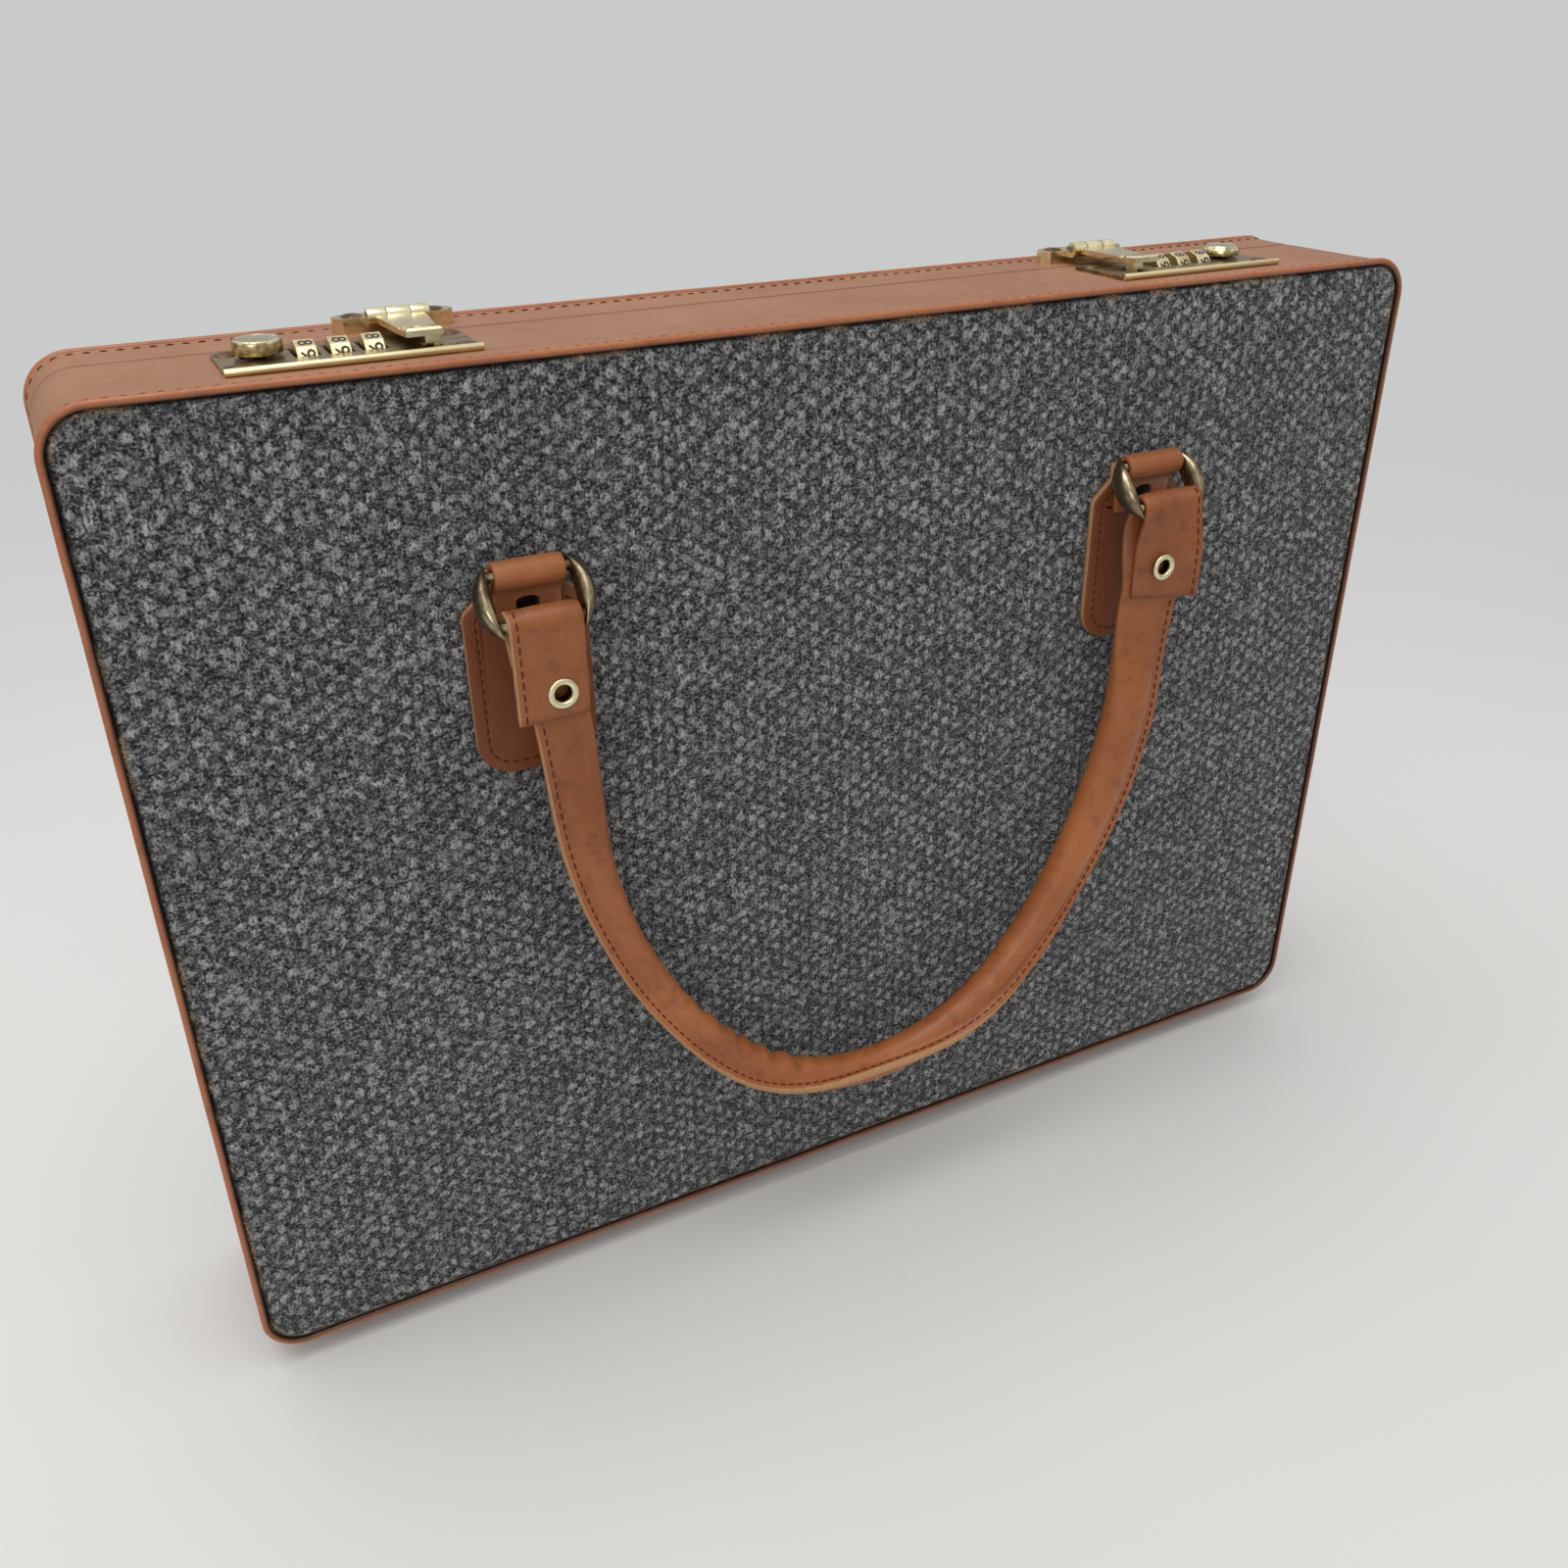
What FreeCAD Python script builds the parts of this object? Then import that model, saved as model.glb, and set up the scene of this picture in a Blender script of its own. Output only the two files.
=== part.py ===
import FreeCAD, Part
import math
import os
import re
import Sketcher

# Attache case standing on its long side: two leather-bound halves hinged along the bottom,
# two combination latches on top and a drop handle on each large face. Millimetres, +Z up,
# +X along the width, the front face towards -Y, the origin on the floor below the middle.

document = FreeCAD.newDocument("attache_case")
sheet = document.addObject("Spreadsheet::Sheet", "Sizes")

# Driving sizes. "From the front" is measured back from the front piping, "from the side" from
# the side piping, and "above the band" upwards from the leather on top of the case.
SIZES = (
    ("case_width", 450.0, "over the piping, side to side"),
    ("case_height", 321.0, "over the piping, without the feet"),
    ("case_depth", 68.0, "over the piping, front to back"),
    ("body_depth", 47.2, "front half, piping to parting line"),
    ("seam_gap", 0.6, "gap at the parting line"),
    ("corner_radius", 15.0, "outer corners of the large faces"),
    ("piping_radius", 2.5, "leather-wrapped cord round each large face"),
    ("piping_rise", 2.0, "piping standing proud of the leather band"),
    ("band_leather", 1.4, "leather of the narrow sides"),
    ("rim_wall", 6.0, "wooden rim of each half"),
    ("edge_leather", 1.0, "leather turned over the rim at the parting line"),
    ("board_wall", 3.0, "fibreboard behind the cloth"),
    ("cloth_wall", 1.2, "tweed with its padding"),
    ("cloth_recess", 0.8, "tweed below the front of the piping"),
    ("lining_wall", 0.8, "lining of both trays"),
    ("foot_height", 8.5, "from the band to the floor"),
    ("foot_radius", 6.5, "domed foot at its root"),
    ("foot_bulge", 9.0, "height that the dome would have unflattened"),
    ("foot_inset", 50.0, "foot from the side"),
    ("foot_spread", 44.4, "front foot to back foot"),
    ("hinge_inset", 85.0, "middle of a bottom hinge from the side"),
    ("hinge_length", 50.0, "bottom hinge"),
    ("hinge_barrel", 2.0, "radius of a hinge barrel"),
    ("hinge_drop", 2.3, "hinge axis below the band"),
    ("leaf_wall", 1.0, "hinge leaf"),
    ("leaf_reach", 14.5, "hinge leaf from the axis"),
    ("knuckle_length", 12.0, "outer knuckle of a bottom hinge"),
    ("pin_radius", 1.0, "hinge pins and dial spindles"),
    ("running_fit", 0.05, "radial clearance on a pin"),
    ("side_gap", 0.3, "gap beside a moving piece"),
    ("plate_inset", 48.0, "latch plate from the side"),
    ("plate_length", 67.0, "latch plate"),
    ("plate_front", 12.0, "latch plate from the front"),
    ("plate_width", 27.0, "latch plate"),
    ("plate_wall", 1.2, "latch plate"),
    ("plate_bead", 1.1, "radius of the bead along the plate's front edge"),
    ("rivet_radius", 3.1, "rivet head"),
    ("rivet_rise", 0.7, "rivet head"),
    ("rivet_shank", 1.5, "radius of a rivet hole"),
    ("rivet_edge", 3.5, "rivet from the plate's edges"),
    ("dial_inset", 70.8, "first dial from the side"),
    ("dial_pitch", 8.9, "dial to dial"),
    ("dial_width", 5.4, "dial along its spindle"),
    ("dial_radius", 6.6, "dial over its ten corners"),
    ("dial_front", 29.5, "dial spindle from the front"),
    ("dial_sink", 2.1, "dial spindle below the band"),
    ("slot_side", 0.75, "gap beside a dial in its slot"),
    ("slot_end", 0.5, "gap before and behind a dial in its slot"),
    ("knob_inset", 59.2, "release knob from the side"),
    ("knob_radius", 6.4, "release knob"),
    ("knob_height", 3.6, "release knob"),
    ("knob_collar", 3.4, "radius of the knob's collar, which clears the rivets"),
    ("knob_bevel", 1.2, "bevel of the knob's top edge"),
    ("knob_stem", 1.5, "radius of the knob's stem"),
    ("slide_out", 3.0, "knob travel outwards, which frees the hasp"),
    ("slide_in", 1.8, "knob travel inwards, which locks the hasp"),
    ("lock_inset", 52.2, "lock case from the side"),
    ("lock_length", 56.3, "lock case"),
    ("lock_front", 16.0, "lock case from the front"),
    ("lock_width", 21.3, "lock case"),
    ("lock_height", 10.5, "lock case below the band"),
    ("lock_wall", 0.8, "lock case sheet"),
    ("bolt_sink", 0.95, "bolt below the band"),
    ("bolt_wall", 1.2, "bolt"),
    ("bolt_front", 17.5, "bolt bar from the front"),
    ("bolt_width", 3.5, "bolt bar"),
    ("spring_radius", 1.3, "release spring, middle of its wire"),
    ("spring_wire", 0.2, "radius of the spring wire"),
    ("spring_pitch", 1.3, "release spring, turn to turn"),
    ("latch_shift", 3.0, "right latch nearer the middle than the left one"),
    ("hasp_inset", 101.0, "middle of the hasp from the side"),
    ("hasp_front", 49.0, "hasp axis from the front"),
    ("hasp_rise", 4.9, "hasp axis above the band"),
    ("hasp_barrel", 2.5, "radius of the hasp's barrel"),
    ("hasp_knuckle", 6.8, "hasp's knuckle"),
    ("ear_knuckle", 5.2, "bracket's knuckle each side"),
    ("arm_width", 13.6, "hasp arm at the barrel"),
    ("tip_width", 10.0, "hasp arm at its tip"),
    ("tip_reach", 30.0, "hasp tip from its axis"),
    ("tip_length", 7.6, "thicker end of the hasp"),
    ("tip_wall", 2.2, "thicker end of the hasp"),
    ("arm_wall", 1.7, "hasp arm"),
    ("arm_rise", 0.4, "hasp arm above the axis where it leaves the barrel"),
    ("tip_lift", 0.3, "closed hasp above the plate"),
    ("hasp_bevel", 0.6, "bevels on the hasp"),
    ("hasp_open", 5.0, "degrees that the hasp stands open at rest"),
    ("catch_width", 4.0, "catch under the hasp, along the case"),
    ("catch_depth", 4.0, "catch under the hasp, front to back"),
    ("catch_reach", 26.3, "middle of the catch from the hasp's axis"),
    ("catch_drop", 3.0, "bottom of the closed catch below the band"),
    ("catch_lip", 0.7, "lip of the catch that the bolt holds"),
    ("catch_mouth", 2.2, "depth of the catch's mouth"),
    ("lug_reach", 17.3, "end of the bracket from its middle"),
    ("lug_rivet", 11.6, "rivet of the bracket from its middle"),
    ("lug_front", 52.3, "bracket's bar from the front"),
    ("lug_width", 7.4, "bracket's bar, front to back"),
    ("lug_height", 4.4, "bracket's bar"),
    ("lug_corner", 2.5, "rounded ends of the bracket"),
    ("handle_span", 220.0, "ring to ring"),
    ("handle_drop", 197.2, "ring's lower bar to the middle of the grip"),
    ("handle_radius", 6.25, "rolled handle"),
    ("handle_core", 3.8, "radius of the cord inside the handle"),
    ("handle_out", 17.0, "handle in front of the piping"),
    ("grip_radius", 74.0, "middle bend of the handle"),
    ("grip_turn", 48.0, "degrees of the middle bend on each side"),
    ("leg_turn", 84.0, "degrees of slope of the handle's straight legs"),
    ("welt_reach", 3.5, "sewn edge outside the rolled handle"),
    ("welt_wall", 3.0, "sewn edge of the handle"),
    ("flap_width", 23.0, "folded end of the handle"),
    ("flap_length", 30.4, "folded end of the handle"),
    ("flap_depth", 9.4, "folded end, front to back"),
    ("flap_wall", 2.2, "leather of the folded end"),
    ("loop_play", 0.4, "gap between a ring's bar and the leather round it"),
    ("ring_bar", 1.7, "radius of a ring's bars"),
    ("ring_reach", 15.3, "ring, bar to bar"),
    ("ring_tip", 3.1, "pointed ends of a ring's sides beyond its bars"),
    ("ring_inside", 24.4, "ring between its sides"),
    ("ring_side", 3.6, "thickness of a ring's side at its middle"),
    ("ring_depth", 6.0, "depth of a ring's side at its middle"),
    ("ring_bar_out", 6.5, "ring's upper bar in front of the piping"),
    ("ring_height", 262.3, "ring's upper bar above the bottom piping"),
    ("tab_width", 37.0, "leather tab"),
    ("tab_wall", 2.8, "leather tab"),
    ("tab_bottom", 199.0, "tab's lower end above the bottom piping"),
    ("tab_shoulder", 250.0, "tab's upper corners above the bottom piping"),
    ("tab_neck", 257.5, "where the tab has narrowed to its loop"),
    ("tab_round", 11.0, "lower corners of the tab"),
    ("loop_width", 21.0, "loop of the tab"),
    ("loop_leather", 2.1, "leather round the ring's upper bar"),
    ("strap_end", 244.0, "end of the loop's front layer above the bottom piping"),
    ("strap_wall", 2.0, "loop's front layer"),
    ("tab_rivet", 252.4, "tab's rivet above the bottom piping"),
    ("eyelet_radius", 4.5, "eyelet's washer"),
    ("eyelet_wall", 0.7, "eyelet's washer"),
    ("eyelet_barrel", 2.4, "eyelet's tube"),
    ("eyelet_bore", 1.6, "eyelet's hole"),
    ("eyelet_drop", 20.5, "eyelet below the ring's lower bar"),
    ("eyelet_inset", 2.5, "eyelet nearer the middle than its ring"),
    ("eyelet_depth", 4.0, "hole for the eyelet's tube"),
)
for row, (alias, number, note) in enumerate(SIZES, start=1):
    sheet.set(f"A{row}", note)
    sheet.set(f"B{row}", str(number))
    sheet.setAlias(f"B{row}", alias)
document.recompute()
ALIASES = {alias for alias, number, note in SIZES}


def bound(text):
    """The expression with each size's name pointing at its cell."""
    return re.sub(r"[a-z_]+", lambda m: "Sizes." + m.group() if m.group() in ALIASES else m.group(), text)


def value(text):
    return float(sheet.evalExpression(bound(text)))


# Places worked out from the sizes
FRONT = "(-case_depth / 2)"
BACK = "(case_depth / 2)"
BASE = "(foot_height - piping_rise)"
BAND_TOP = "(foot_height - 2 * piping_rise + case_height)"
BODY_EDGE = "(body_depth - case_depth / 2)"
LID_EDGE = "(body_depth + seam_gap - case_depth / 2)"
LID_DEPTH = "(case_depth - body_depth - seam_gap)"
RIM_IN = "(piping_rise + band_leather)"
LINING_IN = "(piping_rise + band_leather + rim_wall)"
TRAY_IN = "(piping_rise + band_leather + rim_wall + lining_wall)"
BOARD_BACK = "(cloth_recess + cloth_wall + board_wall)"
HINGE_Y = "(body_depth + seam_gap / 2 - case_depth / 2)"
HINGE_Z = "(foot_height - hinge_drop)"
BORE = "(pin_radius + running_fit)"
HASP_X = "(hasp_inset - case_width / 2)"
HASP_Y = "(hasp_front - case_depth / 2)"
HASP_Z = f"({BAND_TOP} + hasp_rise)"
DIAL_Y = "(dial_front - case_depth / 2)"
DIAL_Z = f"({BAND_TOP} - dial_sink)"
RING_X = "(handle_span / 2)"
RING_Y = f"({FRONT} - ring_bar_out)"
RING_Z = f"({BASE} + ring_height)"
HANDLE_Y = f"({FRONT} - handle_out)"
RING_LEAN = "asin((handle_out - ring_bar_out) / ring_reach)"
HANDLE_Z = f"({RING_Z} - sqrt(ring_reach ^ 2 - (handle_out - ring_bar_out) ^ 2))"
CLOTH_Y = f"({FRONT} + cloth_recess)"
TAB_Y = f"({CLOTH_Y} - tab_wall)"

pieces = {}


def keep(name, item):
    item.Label = name
    pieces[name] = item
    return item


def bind(item, **properties):
    for name, text in properties.items():
        item.setExpression(name.replace("__", "."), bound(text))


def place(item, x, y, z):
    bind(item, Placement__Base__x=x, Placement__Base__y=y, Placement__Base__z=z)


def new_body(name):
    body = document.addObject("PartDesign::Body", name)
    return keep(name, body)


def new_sketch(body, role, offset):
    sketch = body.newObject("Sketcher::SketchObject", f"{body.Name}_sketch")
    plane = next(item for item in body.Origin.OriginFeatures if item.Role == role)
    sketch.AttachmentSupport = [(plane, "")]
    sketch.MapMode = "FlatFace"
    bind(sketch, AttachmentOffset__Base__z=offset)
    return sketch


def measure(sketch, kind, first, first_end, second, second_end, text):
    """Holds the distance along one sketch axis, or pins the point to that axis."""
    if text == "0":
        axis = -2 if kind == "DistanceX" else -1
        sketch.addConstraint(Sketcher.Constraint("PointOnObject", second, second_end, axis))
        return
    number = value(text)
    index = sketch.addConstraint(Sketcher.Constraint(kind, first, first_end, second, second_end, number))
    sketch.setExpression(f"Constraints[{index}]", bound(text))


def pin_point(sketch, item, end, across, up):
    measure(sketch, "DistanceX", -1, 1, item, end, across)
    measure(sketch, "DistanceY", -1, 1, item, end, up)


def draw_rounded(sketch, width, height, radius, bottom):
    """A rounded rectangle, centred across and standing on `bottom`."""
    start = sketch.GeometryCount
    half, low = value(width) / 2, value(bottom)
    high, turn = low + value(height), value(radius)
    quarter = math.pi / 2
    corners = ((half, low), (half, high), (-half, high), (-half, low))
    for index, (x, z) in enumerate(corners):
        last_x, last_z = corners[index - 1]
        along = (math.copysign(1, x - last_x) * (x != last_x), math.copysign(1, z - last_z) * (z != last_z))
        begin = FreeCAD.Vector(last_x + along[0] * turn, last_z + along[1] * turn, 0)
        finish = FreeCAD.Vector(x - along[0] * turn, z - along[1] * turn, 0)
        sketch.addGeometry(Part.LineSegment(begin, finish), False)
        centre = FreeCAD.Vector(math.copysign(half - turn, x), z + math.copysign(turn, low + high - 2 * z), 0)
        circle = Part.Circle(centre, FreeCAD.Vector(0, 0, 1), turn)
        first = (index - 1) * quarter
        sketch.addGeometry(Part.ArcOfCircle(circle, first, first + quarter), False)
    for index in range(8):
        sketch.addConstraint(
            Sketcher.Constraint("Tangent", start + index, 2, start + (index + 1) % 8, 1)
        )
    for index in (0, 4):
        sketch.addConstraint(Sketcher.Constraint("Horizontal", start + index))
        sketch.addConstraint(Sketcher.Constraint("Vertical", start + index + 2))
    for index in (3, 5, 7):
        sketch.addConstraint(Sketcher.Constraint("Equal", start + 1, start + index))
    index = sketch.addConstraint(Sketcher.Constraint("Radius", start + 1, turn))
    sketch.setExpression(f"Constraints[{index}]", bound(radius))
    measure(sketch, "DistanceY", start, 1, start + 4, 1, height)
    measure(sketch, "DistanceX", start + 6, 1, start + 2, 1, width)
    measure(sketch, "DistanceX", -1, 1, start + 2, 1, f"({width}) / 2")
    measure(sketch, "DistanceY", -1, 1, start, 1, bottom)


def draw_polygon(sketch, points):
    start = sketch.GeometryCount
    places = [FreeCAD.Vector(value(x), value(y), 0) for x, y in points]
    for index, spot in enumerate(places):
        following = places[(index + 1) % len(places)]
        sketch.addGeometry(Part.LineSegment(spot, following), False)
    for index in range(len(places)):
        following = start + (index + 1) % len(places)
        sketch.addConstraint(Sketcher.Constraint("Coincident", start + index, 2, following, 1))
    for index, (x, y) in enumerate(points):
        pin_point(sketch, start + index, 1, x, y)


def draw_box(sketch, left, right, low, high):
    draw_polygon(sketch, ((left, low), (right, low), (right, high), (left, high)))


def draw_circle(sketch, across, up, radius):
    index = sketch.GeometryCount
    centre = FreeCAD.Vector(value(across), value(up), 0)
    sketch.addGeometry(Part.Circle(centre, FreeCAD.Vector(0, 0, 1), value(radius)), False)
    pin_point(sketch, index, 3, across, up)
    hold = sketch.addConstraint(Sketcher.Constraint("Radius", index, value(radius)))
    sketch.setExpression(f"Constraints[{hold}]", bound(radius))


def extrude(body, role, low, high, draw, *details, cut=False):
    """Adds, or cuts away, what `draw` draws, from `low` to `high` along the plane's row axis."""
    facing_front = role == "XZ_Plane"
    near = high if facing_front != cut else low
    sketch = new_sketch(body, role, f"-({near})" if facing_front else near)
    draw(sketch, *details)
    document.recompute()
    kind = "PartDesign::Pocket" if cut else "PartDesign::Pad"
    feature = body.newObject(kind, f"{body.Name}_{'cut' if cut else 'pad'}")
    feature.Profile = sketch
    bind(feature, Length=f"({high}) - ({low})")
    before = body.Shape.Volume if len(body.Group) > 2 else 0.0
    document.recompute()
    if (body.Shape.Volume < before) != cut:
        raise ValueError(f"{feature.Name} went the wrong way")
    return feature


def add(body, role, low, high, draw, *details):
    return extrude(body, role, low, high, draw, *details)


def cut(body, role, low, high, draw, *details):
    return extrude(body, role, low, high, draw, *details, cut=True)


def primitive(kind, name, x, y, z, **sizes):
    item = document.addObject(f"Part::{kind}", name)
    place(item, x, y, z)
    bind(item, **sizes)
    return item


def cylinder_along_x(name, x, y, z, radius, length):
    item = document.addObject("Part::Cylinder", name)
    item.Placement.Rotation = FreeCAD.Rotation(FreeCAD.Vector(0, 1, 0), 90)
    place(item, x, y, z)
    bind(item, Radius=radius, Height=length)
    return item


def group(name, items):
    item = document.addObject("Part::Compound", name)
    item.Links = items
    return keep(name, item)


def join(name, items):
    item = document.addObject("Part::MultiFuse", name)
    item.Shapes = items
    return item


def take(name, base, tool):
    item = document.addObject("Part::Cut", name)
    item.Base = base
    item.Tool = tool
    return item


def mirrored(name, source, across):
    """The piece on the other side, across the X or the Y plane."""
    item = document.addObject("Part::Mirroring", name)
    item.Source = source
    item.Normal = FreeCAD.Vector(*across)
    return item


LEFT_TO_RIGHT = (1, 0, 0)
FRONT_TO_BACK = (0, 1, 0)


def other_latch(name, source):
    """The piece of the right latch, which sits nearer the middle than the left one."""
    item = mirrored(name, source, LEFT_TO_RIGHT)
    bind(item, Base__x="-latch_shift / 2")
    return item


def draw_inset(sketch, inset):
    """The case's outline drawn this far inside the piping's outer edge."""
    draw_rounded(
        sketch,
        f"case_width - 2 * ({inset})",
        f"case_height - 2 * ({inset})",
        f"max(corner_radius - ({inset}); 3)",
        f"{BASE} + ({inset})",
    )


def draw_ring(sketch, outer, inner):
    draw_inset(sketch, outer)
    draw_inset(sketch, inner)


# Each half: wooden rim, board, tweed, leather band, piping and lining
def lock_openings(body, inset):
    """Holes for the two lock cases through the top of the front half."""
    left = "lock_inset - side_gap - case_width / 2"
    right = "lock_inset + lock_length + side_gap - case_width / 2"
    front = f"{FRONT} + lock_front - side_gap"
    back = f"{FRONT} + lock_front + lock_width + side_gap"
    low = f"{BAND_TOP} - 2 * lock_height"
    high = f"{BAND_TOP} + 1"
    cut(body, "XY_Plane", low, high, draw_box, left, right, front, back)
    cut(
        body, "XY_Plane", low, high, draw_box,
        f"-({right}) - latch_shift", f"-({left}) - latch_shift", front, back,
    )


def build_half(half, face, sign, depth):
    def level(distance):
        return f"({face} {sign} ({distance}))"

    def between(near, far):
        first, second = level(near), level(far)
        return (first, second) if sign == "+" else (second, first)

    edge = f"{depth} - edge_leather"
    rim = new_body(f"{half}_rim")
    add(rim, "XZ_Plane", *between(BOARD_BACK, edge), draw_ring, RIM_IN, LINING_IN)
    board = new_body(f"{half}_board")
    piping_seat = "2 * piping_radius + side_gap"
    cloth_back = "cloth_recess + cloth_wall"
    add(board, "XZ_Plane", *between(cloth_back, BOARD_BACK), draw_inset, piping_seat)
    tweed = new_body(f"{half}_tweed")
    add(tweed, "XZ_Plane", *between("cloth_recess", cloth_back), draw_inset, piping_seat)
    band = new_body(f"{half}_band")
    add(band, "XZ_Plane", *between(BOARD_BACK, depth), draw_ring, "piping_rise", RIM_IN)
    add(band, "XZ_Plane", *between(edge, depth), draw_ring, "piping_rise", LINING_IN)
    lining = new_body(f"{half}_lining")
    add(lining, "XZ_Plane", *between(BOARD_BACK, depth), draw_inset, LINING_IN)
    tray_floor = f"{BOARD_BACK} + lining_wall"
    cut(lining, "XZ_Plane", *between(tray_floor, depth), draw_inset, TRAY_IN)
    piping = new_body(f"{half}_piping")
    path = new_sketch(piping, "XZ_Plane", f"-{level('piping_radius')}")
    draw_inset(path, "piping_radius")
    profile = new_sketch(piping, "YZ_Plane", "0")
    draw_circle(profile, level("piping_radius"), f"{BASE} + piping_radius", "piping_radius")
    document.recompute()
    pipe = piping.newObject("PartDesign::AdditivePipe", f"{half}_piping_cord")
    pipe.Profile = profile
    pipe.Spine = (path, [])
    return rim, band, lining


body_rim, body_band, body_lining = build_half("body", FRONT, "+", "body_depth")
for holed in (body_rim, body_band, body_lining):
    lock_openings(holed, RIM_IN)
build_half("lid", BACK, "-", LID_DEPTH)

# Domed feet, flattened where they stand
for half, sign in (("body", "-"), ("lid", "")):
    feet = []
    for side in ("-", ""):
        tag = f"{half}_foot{'_left' if side else '_right'}"
        x = f"{side}(case_width / 2 - foot_inset)"
        dome = primitive(
            "Ellipsoid", f"{tag}_dome", x, f"{sign}foot_spread / 2", "foot_height",
            Radius1="foot_bulge", Radius2="foot_radius", Radius3="foot_radius",
        )
        dome.Angle1 = -90
        dome.Angle2 = 0
        under = primitive(
            "Box", f"{tag}_under", f"{x} - foot_radius", f"{sign}foot_spread / 2 - foot_radius",
            "-foot_bulge", Length="2 * foot_radius", Width="2 * foot_radius", Height="foot_bulge",
        )
        feet.append(take(tag, dome, under))
    group(f"{half}_feet", feet)


# Bottom hinges: riveted leaves, knuckles on the parting line and a pin
def hinge_leaf(name, middle, sign):
    """One leaf; sign -1 is the body's with two knuckles, +1 the lid's with one."""
    body = document.addObject("PartDesign::Body", name)
    half = "hinge_length / 2"
    inner = "(hinge_length / 2 - knuckle_length)"
    top = f"{HINGE_Z} + hinge_drop"
    low = f"{top} - leaf_wall"
    step = "hinge_barrel + side_gap + 0.1"
    near = f"{HINGE_Y} + {sign} * ({step})"
    far = f"{HINGE_Y} + {sign} * leaf_reach"
    front, back = (near, far) if sign > 0 else (far, near)
    add(body, "XY_Plane", low, top, draw_box, f"{middle} - {half}", f"{middle} + {half}", front, back)
    spans = [(f"{middle} - {inner} + side_gap", f"{middle} + {inner} - side_gap")]
    if sign < 0:
        spans = [
            (f"{middle} - {half}", f"{middle} - {inner}"),
            (f"{middle} + {inner}", f"{middle} + {half}"),
        ]
    for left, right in spans:
        web = (HINGE_Y, far) if sign > 0 else (far, HINGE_Y)
        add(body, "XY_Plane", low, top, draw_box, left, right, *web)
        add(body, "YZ_Plane", left, right, draw_circle, HINGE_Y, HINGE_Z, "hinge_barrel")
    ends = (f"{middle} - {half} - 1", f"{middle} + {half} + 1")
    cut(body, "YZ_Plane", *ends, draw_circle, HINGE_Y, HINGE_Z, BORE)
    for x, y in hinge_rivet_places(middle, sign):
        cut(body, "XY_Plane", f"{low} - 1", f"{top} + 1", draw_circle, x, y, "rivet_shank")
    return body


def hinge_rivet_places(middle, sign):
    y = f"{HINGE_Y} + {sign} * (leaf_reach - rivet_edge - 1)"
    return [(f"{middle} + {side} * (hinge_length / 2 - 2 * rivet_edge)", y) for side in (-1, 1)]


HINGES = ("-(case_width / 2 - hinge_inset)", "(case_width / 2 - hinge_inset)")
for half, sign in (("body", -1), ("lid", 1)):
    leaves = [hinge_leaf(f"{half}_leaf_{number}", middle, sign) for number, middle in enumerate(HINGES)]
    group(f"{half}_hinge_leaves", leaves)
group(
    "bottom_hinge_pins",
    [
        cylinder_along_x(
            f"bottom_pin_{number}", f"{middle} - hinge_length / 2", HINGE_Y, HINGE_Z,
            "pin_radius", "hinge_length",
        )
        for number, middle in enumerate(HINGES)
    ],
)

# Latch plate: dial slots, knob slot, catch slot, rivet holes and a bead along its front edge
PLATE_LEFT = "(plate_inset - case_width / 2)"
PLATE_RIGHT = "(plate_inset + plate_length - case_width / 2)"
PLATE_FRONT = f"({FRONT} + plate_front)"
PLATE_BACK = f"({FRONT} + plate_front + plate_width)"
PLATE_TOP = f"({BAND_TOP} + plate_wall)"
DIALS = [f"(dial_inset + {number} * dial_pitch - case_width / 2)" for number in range(3)]
KNOB_X = "(knob_inset - case_width / 2)"
PLATE_RIVETS = [
    (x, y)
    for x in (f"{PLATE_LEFT} + rivet_edge", f"{PLATE_RIGHT} - rivet_edge")
    for y in (f"{PLATE_FRONT} + rivet_edge + 2 * plate_bead", f"{PLATE_BACK} - rivet_edge")
]
plate = new_body("latch_plate_left")
add(
    plate, "XY_Plane", BAND_TOP, PLATE_TOP, draw_box,
    PLATE_LEFT, PLATE_RIGHT, f"{PLATE_FRONT} + plate_bead", PLATE_BACK,
)
add(
    plate, "YZ_Plane", PLATE_LEFT, PLATE_RIGHT, draw_circle,
    f"{PLATE_FRONT} + plate_bead", f"{BAND_TOP} + plate_bead", "plate_bead",
)
below, above = f"{BAND_TOP} - 1", f"{PLATE_TOP} + 2"
dial_chord = "sqrt(dial_radius ^ 2 - (dial_sink + plate_wall) ^ 2) + slot_end"
for dial_x in DIALS:
    cut(
        plate, "XY_Plane", below, above, draw_box,
        f"{dial_x} - dial_width / 2 - slot_side", f"{dial_x} + dial_width / 2 + slot_side",
        f"{DIAL_Y} - ({dial_chord})", f"{DIAL_Y} + ({dial_chord})",
    )
stem_room = "(knob_stem + slot_end)"
cut(
    plate, "XY_Plane", below, above, draw_box,
    f"{KNOB_X} - slide_out - {stem_room}", f"{KNOB_X} + slide_in + {stem_room}",
    f"{DIAL_Y} - {stem_room}", f"{DIAL_Y} + {stem_room}",
)
CATCH_Y = f"({HASP_Y} - catch_reach)"
CATCH_X = "(hasp_inset + 2.3 - case_width / 2)"
cut(
    plate, "XY_Plane", below, above, draw_box,
    f"{CATCH_X} - catch_width / 2 - slot_end", f"{CATCH_X} + catch_width / 2 + slot_end",
    f"{CATCH_Y} - catch_depth / 2 - 1.4", f"{CATCH_Y} + catch_depth / 2 + 1.4",
)
for x, y in PLATE_RIVETS:
    cut(plate, "XY_Plane", below, above, draw_circle, x, y, "rivet_shank")

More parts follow.
